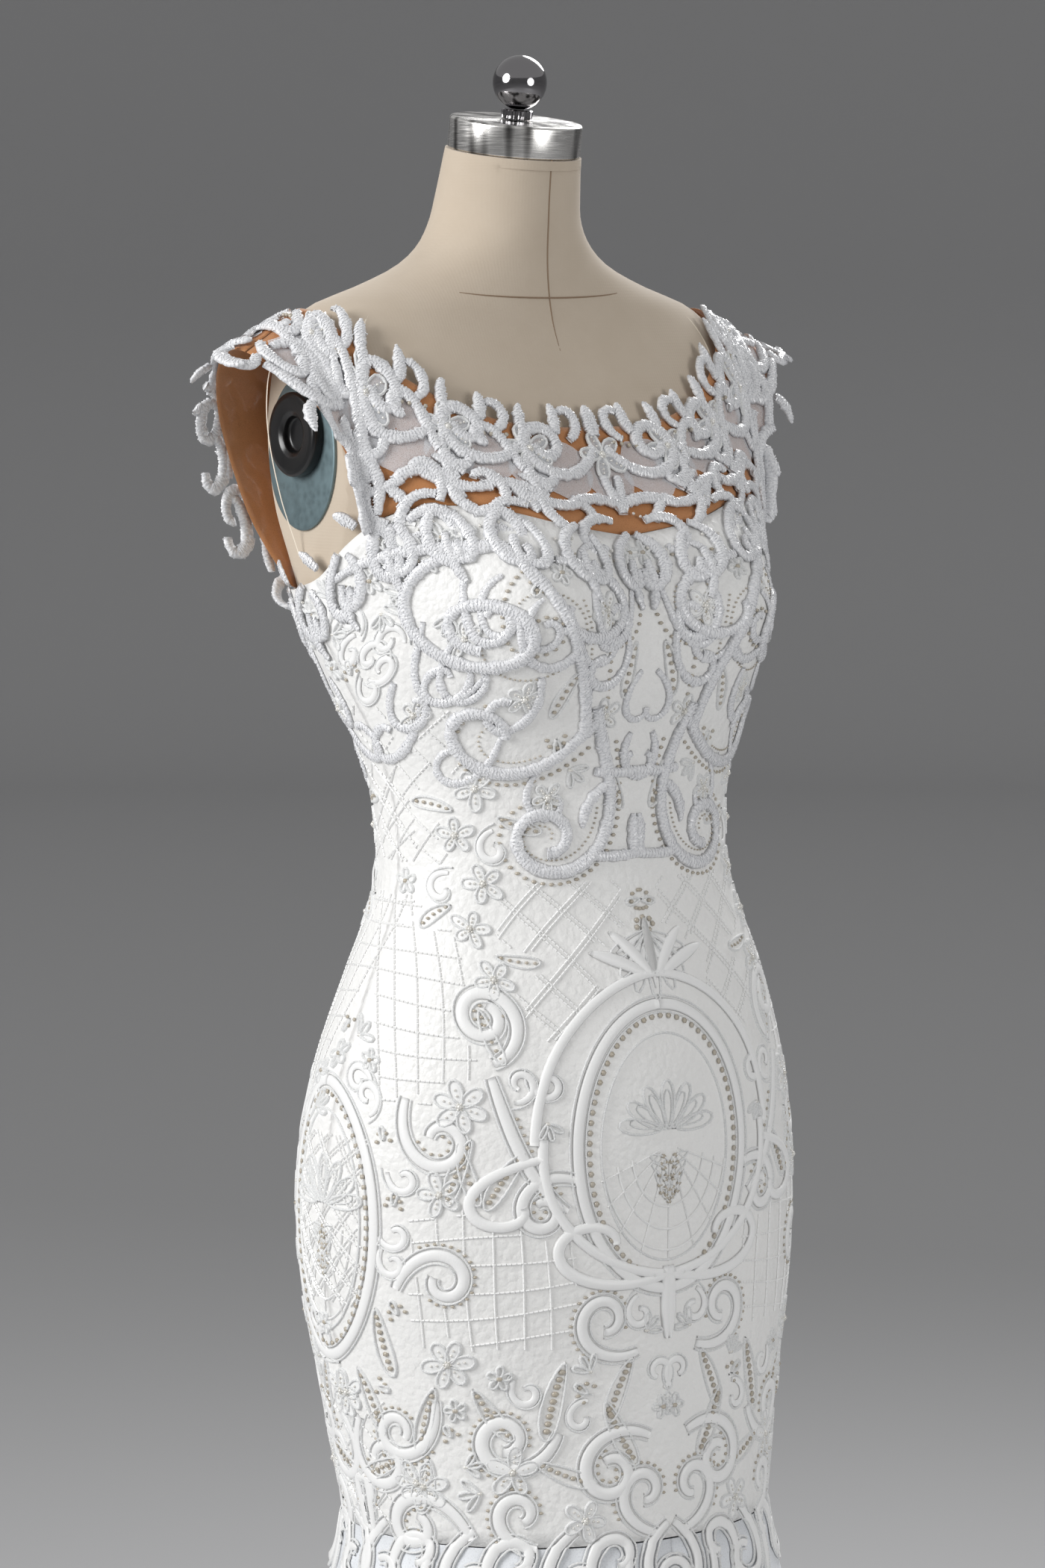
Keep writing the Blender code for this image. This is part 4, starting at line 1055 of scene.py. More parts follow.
def make_form_seams():
    """The form's own seams: dark down the centre, light over the chest, and a ring round the neck's foot."""
    dark, light = MeshMaker(), MeshMaker()
    for turn, low in ((0, 1230), (180, 1210)):
        heights = np.arange(low, 1512, 4.0)
        form_seam(dark, np.full(len(heights), float(turn)), heights, 0.55, 0.3)
    turns = np.arange(0, 361, 4.0)
    form_seam(dark, turns, 1424 + 44 * np.sin(np.radians(turns) / 2) ** 2, 0.6, 0.6)
    for side in (1, -1):
        heights = np.arange(1250, 1419, 4.0)
        share = (heights - 1250) / 168
        form_seam(light, side * (34 + 22 * share ** 2), heights, 0.9, 0.7)
        form_seam(light, side * (148 - 18 * share ** 2), heights, 0.55, 0.4)
        over = np.arange(1262, 1432, 4.0)
        form_seam(light, np.full(len(over), side * 92.0), over, 0.5, 0.3)
    colours = bpy.context.scene.dress_colours
    finish_piece(dark.build("form_seams_dark", seam_thread("Brown seam thread", colours.seam_dark)))
    finish_piece(light.build("form_seams_light", seam_thread("Ecru seam thread", colours.seam_light)))


def make_neck_metal():
    cap = rounded([(0, CAP_HEIGHT), (CAP_RADIUS - 1.2, CAP_HEIGHT), (CAP_RADIUS, CAP_HEIGHT - 1.2),
                   (CAP_RADIUS, 0.8), (CAP_RADIUS - 0.8, 0), (0, 0)], 0.8)
    maker = MeshMaker()
    turned(maker, cap, 96, neck_place(0.3))
    made = maker.build("neck_cap_band", material(brushed_steel))
    made.data.set_sharp_from_angle(angle=math.radians(35))
    finish_piece(made, ["neck_cap"])
    top = 0.3 + CAP_HEIGHT
    maker = MeshMaker()
    steps = 120
    angles = np.arange(steps) * 2 * math.pi / steps
    heights = [COLLAR_HEIGHT, COLLAR_HEIGHT, COLLAR_HEIGHT - 0.8, 0.9, 0.4, 0]
    radii = [0.001, COLLAR_RADIUS - 1.2, COLLAR_RADIUS, COLLAR_RADIUS, COLLAR_RADIUS - 0.9, 0.001]
    knurl = 0.22 * np.sign(np.sin(angles * 30))
    rings = []
    for k, (radius, height) in enumerate(zip(radii, heights)):
        out = radius + (knurl if k in (2, 3) else 0)
        rings.append(np.stack([out * np.cos(angles), out * np.sin(angles), np.full(steps, height)], -1))
    matrix = np.array(neck_place(top + 0.3))
    maker.grid(np.array(rings) @ matrix[:3, :3].T + matrix[:3, 3], closed=True)
    collar = maker.build("finial_knurled_collar", material(polished_steel))
    collar.data.set_sharp_from_angle(angle=math.radians(25))
    finish_piece(collar, ["finial_collar"])
    start = math.acos(0.5 * COLLAR_RADIUS / BALL_RADIUS)
    foot = -BALL_RADIUS * math.sin(start)
    angles = np.linspace(math.pi / 2, -start, 41)
    ball = [(BALL_RADIUS * math.cos(a), BALL_RADIUS * math.sin(a) - foot) for a in angles] + [(0, 0)]
    maker = MeshMaker()
    turned(maker, ball, 64, neck_place(top + COLLAR_HEIGHT + 0.6))
    made = maker.build("finial_chrome_ball", material(polished_steel))
    made.data.set_sharp_from_angle(angle=math.radians(50))
    finish_piece(made, ["finial_ball"])


def make_arm_plates():
    y, z = ARM_PLATE_CENTRE
    for side, name in ((1, "left"), (-1, "right")):
        facing = Matrix.Rotation(side * math.pi / 2, 4, "Y")
        place = Matrix.Translation((side * (ARM_CUT + 0.3), y, z)) @ facing
        oval = place @ Matrix.Diagonal((ARM_PLATE_HALF[1], ARM_PLATE_HALF[0], 1, 1))
        maker = MeshMaker()
        profile = [(0, 2), (0.5, 2), (0.97, 2), (0.99, 1.8), (1, 1.4), (1, 0), (0, 0)]
        turned(maker, profile, 96, oval)
        screw = place @ Matrix.Translation((side * -12.0 + 0.0, side * -24.0, ARM_PLATE_THICK))
        made = maker.build("arm_plate_oval_" + name, material(zinc_plate))
        made.data.set_sharp_from_angle(angle=math.radians(35))
        finish_piece(made, ["arm_plate_" + name])
        maker = MeshMaker()
        turned(maker, [(0, 1.1), (1.4, 1.1), (1.5, 1.7), (2.6, 1.6), (3.4, 1.0), (3.6, 0)], 24, screw)
        finish_piece(maker.build("arm_plate_screw_" + name, material(polished_steel)))
        out = side * (ARM_CUT + ARM_PLATE_THICK + 0.6)
        lifted = Matrix.Translation((out, y, z + SOCKET_RISE)) @ facing
        ring = [(0.001, 1.0), (SOCKET_BORE - 1, 1.0), (SOCKET_BORE, 2.0), (SOCKET_BORE + 0.4, SOCKET_THICK - 2.6),
                (SOCKET_BORE + 3.5, SOCKET_THICK - 0.8), (SOCKET_RADIUS - 4, SOCKET_THICK),
                (SOCKET_RADIUS - 1.2, SOCKET_THICK - 0.5), (SOCKET_RADIUS, SOCKET_THICK - 1.8),
                (SOCKET_RADIUS, 0), (0.001, 0)]
        maker = MeshMaker()
        turned(maker, rounded(ring, 0.7), 72, lifted)
        finish_piece(maker.build("arm_socket_disc_" + name, material(black_plastic)),
                     ["arm_socket_" + name])


def dress_stand():
    """The stand's own solids keep their shape and get their metal."""
    for node, make in (("stand_base", brushed_steel), ("stand_pole", polished_steel), ("stand_flange", brushed_steel)):
        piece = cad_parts[node]
        piece.data.materials.clear()
        piece.data.materials.append(material(make))


# The satin

def satin_grid(first, last, columns, rows):
    turns = np.linspace(first, last, columns + 1)[None, :]
    tops = bodice_top(turns)
    down = np.linspace(0, 1, rows + 1)[:, None] ** 1.08
    heights = tops + (SHEATH_HEM - tops) * down
    return off_body(np.broadcast_to(turns, heights.shape), heights, CLOTH_CLEARANCE + crease_rise(turns, heights))


SHEETS = {}


def make_satin():
    gap = math.degrees(SEWN_GAP / float(smooth_values(BODY_COLUMNS[0], BODY_COLUMNS[1], WAIST)))
    for name, first, last, columns, node in (
        ("satin_front", -90 + gap, 90 - gap, 84, "front_panel"),
        ("satin_back_left", 90 + gap, 180 - gap, 44, "back_panel_left"),
        ("satin_back_right", 180 + gap, 270 - gap, 44, "back_panel_right"),
    ):
        points = satin_grid(first, last, columns, 64)
        maker = MeshMaker()
        maker.grid(points)
        made = maker.build(name, material(duchess_satin))
        thicken(made, SATIN_OUT)
        finish_piece(made, [node])
        SHEETS[name] = (made, points, "stretched", ["form_cover"], [])


# The sheer yoke and its lace border

YOKES = {}


def make_yoke():
    shoulder, end = SHOULDER_STATION, len(YOKE) - 1
    for name, first, last, columns, node in (
        ("net_front", -shoulder + YOKE_SLIT, shoulder - YOKE_SLIT, 144, "yoke_front"),
        ("net_back_left", shoulder + YOKE_SLIT, end, 60, "yoke_back_left"),
        ("net_back_right", -end, -shoulder - YOKE_SLIT, 60, "yoke_back_right"),
    ):
        cloth = YokeCloth(first, last, columns)
        YOKES[name] = cloth
        points = cloth.points + cloth.facings * 0.25
        maker = MeshMaker()
        maker.grid(points)
        made = maker.build(name, material(nude_net))
        thicken(made, 0.35)
        finish_piece(made, [node])
        SHEETS[name] = (made, points, "stretched", ["form_cover"], [])


class LaceWork:
    """The cords, petals and beads of one stretch of lace."""

    def __init__(self, seed):
        self.beaded, self.cord, self.sheer = MeshMaker(), MeshMaker(), MeshMaker()
        self.bugles, self.seeds, self.drops = BeadRows(), BeadRows(), BeadRows()
        self.petals = self.sheer
        self.random = np.random.default_rng(seed)

    def beaded_cord(self, lay, along, across, half, lift, rise, closed=True, pitch=2.1):
        """A thick cord covered in bugle beads."""
        ragged = 1 + 0.10 * self.random.standard_normal(len(along))
        half = half * np.clip(ragged, 0.8, 1.25)
        points, facing = lay(along, across, np.full(len(along), float(lift)))
        crown = rise * np.clip(half / 3.2, 0.35, 1.15)
        sweep(self.beaded, points, facing, half, crown, CLOSED_CORD if closed else ROUND_CORD, closed)
        self.cover_with_bugles(points, facing, half, crown, pitch)

    def cover_with_bugles(self, points, facing, half, crown, pitch):
        lengths = np.concatenate([[0.0], np.cumsum(np.linalg.norm(np.diff(points, axis=0), axis=1))])
        at = np.arange(pitch / 2, lengths[-1], pitch)
        if not len(at):
            return
        centre = np.stack([np.interp(at, lengths, points[:, a]) for a in range(3)], -1)
        normal = unit(np.stack([np.interp(at, lengths, facing[:, a]) for a in range(3)], -1))
        tangent = unit(np.gradient(centre, axis=0)) if len(at) > 1 else unit(points[-1:] - points[:1])
        side = unit(np.cross(tangent, normal))
        width, height = np.interp(at, lengths, half), np.interp(at, lengths, crown)
        for place in (-0.58, 0.0, 0.58):
            off = place + 0.12 * self.random.standard_normal(len(at))
            up = height * np.sqrt(np.maximum(0.05, 1 - (0.92 * off) ** 2))
            spots = centre + side * (off * width)[:, None] + normal * (up - 0.05)[:, None]
            out = unit(normal + side * (off * 0.9)[:, None])
            lies = unit(side + tangent * (0.45 + 0.4 * self.random.standard_normal(len(at)))[:, None])
            size = np.stack([np.clip(width / 3.6, 0.5, 1.15), np.ones(len(at)), np.ones(len(at))], -1)
            keep = (np.abs(off) * width > 0) & (self.random.random(len(at)) < 0.94)
            self.bugles.add(spots[keep], out[keep], lies[keep], size[keep])

    def thin_cord(self, lay, along, across, half=0.9, lift=0.1, rise=1.1):
        points, facing = lay(along, across, np.full(len(along), float(lift)))
        sweep(self.cord, points, facing, half, rise, THIN_CORD)

    def bead_row(self, rows, lay, along, across, spacing, size, lift, lies=None, both_ends=True):
        """Beads at an even spacing along a line drawn flat."""
        lengths = np.concatenate([[0.0], np.cumsum(np.hypot(np.diff(along), np.diff(across)))])
        count = max(2, int(lengths[-1] / spacing) + 1)
        at = np.linspace(0, lengths[-1], count)
        if not both_ends:
            at = at[:-1]
        x, y = np.interp(at, lengths, along), np.interp(at, lengths, across)
        points, facing = lay(x, y, np.full(len(x), float(lift)))
        ahead, _ = lay(x + 0.5, y, np.full(len(x), float(lift)))
        rows.add(points, facing, unit(ahead - points) if lies is None else lies, size)

    def flower(self, lay, along, across, length, turn, lift=0.3, petals=5, beads=4, width=0.62):
        """A flower of outlined, see-through petals with a bead at its heart."""
        for k in range(petals):
            heading = turn + 360 * k / petals + self.random.uniform(-4, 4)
            reach = length * self.random.uniform(0.92, 1.06)
            x, y = petal_loop(along, across, heading, reach, reach * width)
            self.thin_cord(lay, x, y, 1.05, lift, 1.6)
            self.petal_fill(lay, along, across, x, y, lift)
            inner = np.array([0.4, 0.62, 0.8][:max(1, beads - 1)])
            cx = along + reach * inner * math.cos(math.radians(heading))
            cy = across + reach * inner * math.sin(math.radians(heading))
            points, facing = lay(cx, cy, np.full(len(cx), lift + 0.9))
            ahead, _ = lay(cx + 0.5, cy, np.full(len(cx), lift + 0.9))
            self.seeds.add(points, facing, unit(ahead - points), np.full((len(cx), 3), 1.0))
        ring = np.linspace(0, 2 * math.pi, 7)[:-1]
        x, y = along + 1.9 * np.cos(ring), across + 1.9 * np.sin(ring)
        points, facing = lay(x, y, np.full(6, lift + 1.2))
        self.seeds.add(points, facing, unit(np.roll(points, 1, axis=0) - points), np.full((6, 3), 1.05))
        point, facing = lay(np.array([along]), np.array([across]), np.array([lift + 1.6]))
        self.seeds.add(point, facing, np.array([[1.0, 0, 0]]), np.full((1, 3), 2.0))

    def petal_fill(self, lay, along, across, x, y, lift):
        rings = np.array([0.0, 0.5, 0.97])[:, None]
        cx, cy = x.mean(), y.mean()
        px, py = cx + (x[None] - cx) * rings, cy + (y[None] - cy) * rings
        rise = lift + 0.25 + 0.5 * (1 - rings ** 2) + np.zeros_like(px)
        points, _ = lay(px.ravel(), py.ravel(), rise.ravel())
        self.petals.grid(points.reshape(*px.shape, 3), np.stack([px, py], -1))

    def patch(self, lay, along, across, radius_x, radius_y, lift):
        """A disc of backing tulle."""
        angles = np.linspace(0, 2 * math.pi, 29)
        rings = np.linspace(0.02, 1, 6)[:, None]
        wobble = 1 + 0.05 * np.sin(5 * angles) + 0.03 * np.sin(9 * angles + 1)
        px = along + radius_x * rings * np.cos(angles) * wobble
        py = across + radius_y * rings * np.sin(angles) * wobble
        points, _ = lay(px.ravel(), py.ravel(), np.full(px.size, float(lift)))
        self.sheer.grid(points.reshape(*px.shape, 3), np.stack([px, py], -1))

    def build(self, name, beaded_name, slot, replaced=()):
        """Makes the pieces of this lace, and returns them."""
        made = []
        if self.beaded.count:
            made.append(finish_piece(self.beaded.build(name + beaded_name, material(bugle_cord)), replaced))
        if self.cord.count:
            made.append(finish_piece(self.cord.build(name + "_cords", material(lace_cord))))
        if self.sheer.count:
            made.append(finish_piece(self.sheer.build(name + "_petals", material(backing_tulle))))
        if self.bugles.count():
            made.append(finish_piece(self.bugles.sew(name + "_bugles", material(bugle_glass), 0.5, 2.3, 3)))
        if self.seeds.count():
            made.append(finish_piece(self.seeds.sew(name + "_seed_beads", material(glass_bead), 0.95)))
        if self.drops.count():
            made.append(finish_piece(self.drops.sew(name + "_sequins", material(clear_sequin), 1.0)))
        return made


def bugle_glass(colours):
    # Silvery-white glass bugle: a short straight tube with a sharp glint
    finish = Finish("White glass bugle", linear(colours.bugle), 0.18, Coat_Weight=0.5, Coat_Roughness=0.1)
    # The bugles vary at random towards their second tone, the same colour that paints the shade in the cord's gaps
    finish.tint(finish.noise(4), linear(colours.bugle), linear(colours.bugle_tone_and_painted_gap_shade))
    return finish.material


def border_repeats(length, flip, shift=0.0):
    """The strokes and flower centres of the border along a length, closed up to end where the cloth ends."""
    count = math.ceil(length / BORDER_PITCH)
    pitch = length / count
    strokes, flowers = [], []
    for n in range(count + 1):
        for stroke in BORDER:
            if n < count - 1 or n < count and stroke.along < pitch / 2:
                strokes.append((stroke, shift + n * pitch, flip))
        flowers.append((flip * (shift + n * pitch), n, flip))
    return strokes, flowers


def make_border():
    front = YOKES["net_front"]
    half = front.reach[-1] / 2
    full = YOKES["net_back_left"].reach[-1]
    a, b = border_repeats(half - BORDER_END, 1), border_repeats(half - BORDER_END, -1)
    back = full - 2 * BORDER_END
    stretches = (
        ("border_front", "net_front", half, (a[0] + b[0], a[1] + b[1][1:]), "lace_front", 11),
        ("border_back_left", "net_back_left", full, border_repeats(back, -1, BORDER_END), "lace_back_left", 12),
        ("border_back_right", "net_back_right", 0.0, border_repeats(back, 1, BORDER_END), "lace_back_right", 13),
    )
    for name, cloth, origin, (strokes, flowers), node, seed in stretches:
        lay = YOKES[cloth].place(origin)
        work = LaceWork(seed)
        for stroke, shift, flip in strokes:
            along, across, width = stroke_line(stroke)
            work.beaded_cord(lay, flip * (along + shift), across, width, 1.5, 2.3)
            if stroke.length > 100:
                work.patch(lay, flip * (shift + 34), 31, 22, 21, 1.0)
        for along, n, flip in flowers:
            work.flower(lay, along, FLOWER_ACROSS, PETAL_LENGTH, PETAL_TURN, 2.2, PETALS, 4)
            work.patch(lay, along, FLOWER_ACROSS + 14, 16, 20, 1.0)
            work.bead_row(work.seeds, lay, along + flip * np.array([2.0, 12.0]), np.array([58.0, 66.0]), 4, 1.2, 2.6)
            work.bead_row(work.drops, lay, along + flip * np.array([14.0, 30.0]), np.array([12.0, 16.0]), 5, 1.7, 2.4)
        count = 7 if cloth == "net_front" else 3
        for stroke in BORDER_FILLING:
            x, y, width = stroke_line(stroke)
            for _, shift, flip in sorted({(0, round(row[1], 3), row[2]) for row in strokes}):
                work.beaded_cord(lay, flip * (x + shift), y, width, 1.6, 2.2)
        full_reach = YOKES[cloth].reach[-1]
        ends = {"net_front": ((0.0, 1), (full_reach, -1)), "net_back_left": ((0.0, 1),)}
        for start, flip in ends.get(cloth, ((full_reach, -1),)):
            lay_end = YOKES[cloth].place(start)
            for stroke in SHOULDER_LACE:
                x, y, width = stroke_line(stroke)
                work.beaded_cord(lay_end, flip * x, y, width, 1.7, 2.6)
            work.patch(lay_end, flip * 34, 44, 30, 30, 1.0)
            for n in range(1, 2 + count // 3):
                for stroke in ARMHOLE_LACE:
                    x, y, width = stroke_line(stroke)
                    work.beaded_cord(lay_end, flip * (x + 30 + 38 * n), y, width, 1.7, 2.4)
        made = work.build(name, "_scrolls", "lace", [node])
        SHEETS[cloth][4].extend(made)
    make_seam_lace()


def on_top_edge(along, down, lift):
    """A flat drawing laid along the upper edge of the satin, all round."""
    turn = turn_at(np.asarray(along, float), np.full(np.shape(along), 1264.0))
    return on_cloth(turn, bodice_top(turn) - np.asarray(down, float), lift)


def make_seam_lace():
    """Lace that covers the seam between the net and the satin, and the satin's edge under the arms."""
    work = LaceWork(14)
    half = float(np.interp(1264, GIRTH_HEIGHTS, GIRTHS[:, -1])) - 14
    count = int(half / SEAM_LACE_PITCH)
    for flip in (1, -1):
        for n in range(count + 1):
            shift = 2 + n * half / (count + 0.6)
            for stroke in SEAM_LACE:
                x, y, width = stroke_line(stroke)
                x = x + shift
                if x.max() < half:
                    work.beaded_cord(on_top_edge, flip * x, y + 2, width, 1.3, 2.3)
            work.bead_row(work.seeds, on_top_edge, flip * (shift + np.array([8.0, 20.0])), np.array([9.0, 12.0]),
                          4, 1.3, 1.2)
    made = work.build("seam_lace", "_scrolls", "lace")
    SHEETS["satin_front"][4].extend(made)


# The applique

def make_applique():
    for name, table, node, seed in (
        ("applique_front", BODICE_APPLIQUE, "applique_bodice", 21),
        ("applique_lower", HIP_APPLIQUE, "applique_hip", 22),
    ):
        work = LaceWork(seed)
        for stroke in table:
            along, across, half = stroke_line(stroke, 2.4)
            for flip in (1, -1):
                if table is BODICE_APPLIQUE:
                    work.beaded_cord(on_applique, flip * along, across, half, 0.35, 2.6, pitch=2.4)
                else:
                    points, facing = on_applique(flip * along, across, np.full(len(along), 0.3))
                    sweep(work.beaded, points, facing, half, 1.7, CLOSED_CORD, True)
        if table is HIP_APPLIQUE:
            made = finish_piece(work.beaded.build(name + "_padding", material(padded_thread)), [node])
            SHEETS["satin_front"][4].append(made)
            continue
        SHEETS["satin_front"][4].extend(work.build(name, "_cord", "lace", [node]))


# Embroidery on the satin

# Soft padded scrolls of the hip, one half, measured from the centre and down from the applique's top
SOFT_SCROLLS = [
    Stroke(112, 330, -160, 128, 2.0, 6.6, 5, 8.5, 6),
    Stroke(114, 338, 104, 96, 0.1, 0.9, 5, 8, 4),
    Stroke(64, 402, -20, 96, 1.5, 8.5, 5, 8, 5),
    Stroke(168, 352, 70, 104, 1.2, 6.8, 5, 8, 5),
    Stroke(176, 470, -110, 96, -1.2, -7.5, 5, 8, 5),
    Stroke(22, 512, 20, 104, -1.4, -7.0, 5, 8, 5),
    Stroke(14, 566, -28, 122, 1.4, 6.4, 5, 9, 6),
    Stroke(74, 560, 70, 118, -1.3, -7.2, 5, 9, 6),
    Stroke(150, 540, 96, 104, -1.0, -8.0, 5, 8, 5),
    Stroke(128, 628, -66, 122, 1.0, 6.8, 5, 9, 6),
    Stroke(206, 556, 60, 110, 1.4, 6.6, 5, 8, 5),
    Stroke(10, 628, -16, 86, -1.2, -8.2, 5, 8, 5),
    Stroke(88, 634, -8, 74, -1.4, -9.0, 5, 8, 5),
    Stroke(200, 632, -14, 74, -1.4, -8.6, 5, 8, 5),
    Stroke(236, 500, -80, 96, -1.2, -7.0, 5, 8, 5),
    Stroke(232, 330, 70, 110, -0.7, -6.2, 5, 8, 5),
    Stroke(205, 246, -70, 92, 1.2, 7.6, 5, 8, 5),
]
# One repeat of the scrolls that run on over the top of the flounce
LOWER_PITCH = 62.0
LOWER_SCROLLS = [
    Stroke(2, 622, 34, 96, 1.2, 7.4, 5, 8, 5),
    Stroke(50, 662, -60, 70, -1.4, -8.6, 5, 8, 5),
    Stroke(30, 640, 76, 36, 1.6, 1.6, 5, 7.5, 2),
]
# Small beaded scrolls of the bodice, one half
BODICE_SCROLLS = [
    Stroke(44, 34, 60, 84, 1.4, 8.4, 5, 8.5, 6),
    Stroke(100, 52, 96, 88, 0.8, 7.4, 5, 8.5, 6),
    Stroke(128, 30, 60, 92, 1.2, 8.0, 5, 8.5, 6),
    Stroke(20, 66, 100, 70, -1.0, -8.6, 5, 8, 6),
    Stroke(78, 90, 110, 78, -1.2, -8.2, 5, 8, 6),
    Stroke(148, 110, 100, 84, -1.0, -7.8, 5, 8, 6),
    Stroke(8, 128, 60, 56, 1.8, 9.4, 5, 8, 5),
    Stroke(170, 96, 80, 70, 1.4, 8.6, 5, 8, 5),
    Stroke(84, 44, 30, 66, 2.4, 10.0, 4, 6.5, 5),
    Stroke(104, 30, 20, 74, 1.4, 8.6, 4, 6.5, 5),
    Stroke(60, 66, 100, 60, 2.0, 9.4, 4, 6, 5),
    Stroke(12, 40, 70, 66, 0.6, -8.4, 4, 6.5, 4),
    Stroke(6, 90, 40, 50, 1.2, 9.6, 4, 6, 4),
    Stroke(112, 92, 60, 72, -1.2, -8.6, 4, 6.5, 5),
    Stroke(138, 66, 70, 84, 0.9, 7.0, 4, 6.5, 5),
    Stroke(92, 128, 80, 78, -0.6, -7.6, 4, 6.5, 4),
    Stroke(66, 150, 50, 60, 1.6, 9.0, 4, 6, 4),
    Stroke(162, 58, 90, 96, 0.2, 5.6, 4, 6.5, 5),
    Stroke(30, 14, -10, 46, 1.8, 9.5, 4, 6, 4),
]
# Flowers of outlined petals, one half: where, petal length and turn
Bloom = namedtuple("Bloom", "along z length turn petals")
FLOWERS = [
    Bloom(104, 1122, 14, 20, 5),
    Bloom(116, 1092, 12, 60, 5),
    Bloom(100, 1062, 13, 0, 5),
    Bloom(112, 1034, 12, 35, 5),
    Bloom(104, 1004, 12, 10, 5),
    Bloom(134, 928, 17, 40, 6),
    Bloom(148, 874, 14, 70, 5),
    Bloom(142, 768, 16, 10, 6),
    Bloom(102, 700, 16, 50, 5),
    Bloom(158, 688, 17, 20, 6),
    Bloom(58, 668, 14, 30, 5),
    Bloom(216, 742, 15, 0, 5),
    Bloom(256, 690, 15, 40, 5),
    Bloom(40, 1232, 12, 15, 5),
    Bloom(84, 1180, 11, 50, 5),
    Bloom(132, 1216, 12, 0, 5),
    Bloom(150, 1168, 11, 40, 5),
    Bloom(30, 1168, 11, 70, 5),
    Bloom(60, 1116, 10, 20, 5),
]
# Leaves with beads along them, one half: from where, heading, length and width
Leaf = namedtuple("Leaf", "along z heading length width")
LEAVES = [
    Leaf(128, 908, 62, 44, 13),
    Leaf(136, 906, 100, 40, 12),
    Leaf(96, 900, 48, 42, 14),
    Leaf(70, 768, 70, 50, 16),
    Leaf(44, 742, 110, 46, 15),
    Leaf(150, 752, 70, 44, 14),
    Leaf(126, 752, 120, 40, 13),
    Leaf(88, 706, 150, 40, 13),
    Leaf(172, 704, 20, 42, 13),
    Leaf(26, 768, 60, 42, 14),
    Leaf(190, 800, 100, 44, 14),
    Leaf(116, 986, 100, 34, 10),
    Leaf(100, 1018, 160, 26, 9),
    Leaf(122, 1048, 20, 26, 9),
    Leaf(118, 1108, -20, 28, 10),
    Leaf(90, 1104, 150, 28, 10),
    Leaf(240, 760, 80, 42, 13),
    Leaf(270, 706, 110, 40, 13),
    Leaf(12, 1212, 70, 34, 11),
    Leaf(22, 1140, 100, 34, 11),
    Leaf(54, 1196, 60, 30, 10),
]
# Grids of dotted stitching, one half: corners, pitch and tilt, and whether its lines are double
Grid = namedtuple("Grid", "low high bottom top pitch tilt double")
GRIDS = [
    Grid(14, 96, 968, 1062, 20, 45, True),
    Grid(122, 188, 924, 1052, 15, 4, False),
    Grid(64, 166, 778, 884, 16, -5, False),
    Grid(112, 180, 1074, 1176, 15, 38, False),
    Grid(196, 262, 800, 904, 13, 45, True),
    Grid(176, 236, 660, 740, 14, 45, False),
]
GRID_STITCH = 3.0
MEDALLION_Z, MEDALLION_WIDE, MEDALLION_HIGH = 898.0, 63.0, 88.0
FILL_PITCH, FILL_CLEAR = 12.0, 5.0


class Used:
    """Which parts of a flat drawing are taken."""

    CELL, LOW_S, LOW_Z = 2.0, -560.0, 575.0

    def __init__(self):
        self.cells = np.zeros((370, 560), bool)
        ring = np.arange(-12, 13)
        self.near = np.hypot(ring[:, None], ring[None, :])

    def spots(self, along, z):
        column = ((np.asarray(along) - self.LOW_S) / self.CELL).astype(int)
        row = ((np.asarray(z) - self.LOW_Z) / self.CELL).astype(int)
        return np.clip(row, 12, 357), np.clip(column, 12, 547)

    def mark(self, along, z, reach):
        disc = self.near <= reach / self.CELL
        for row, column in zip(*self.spots(np.ravel(along), np.ravel(z))):
            self.cells[row - 12:row + 13, column - 12:column + 13] |= disc

    def free(self, along, z, reach):
        row, column = self.spots(along, z)
        disc = self.near <= reach / self.CELL
        return not (self.cells[row - 12:row + 13, column - 12:column + 13] & disc).any()


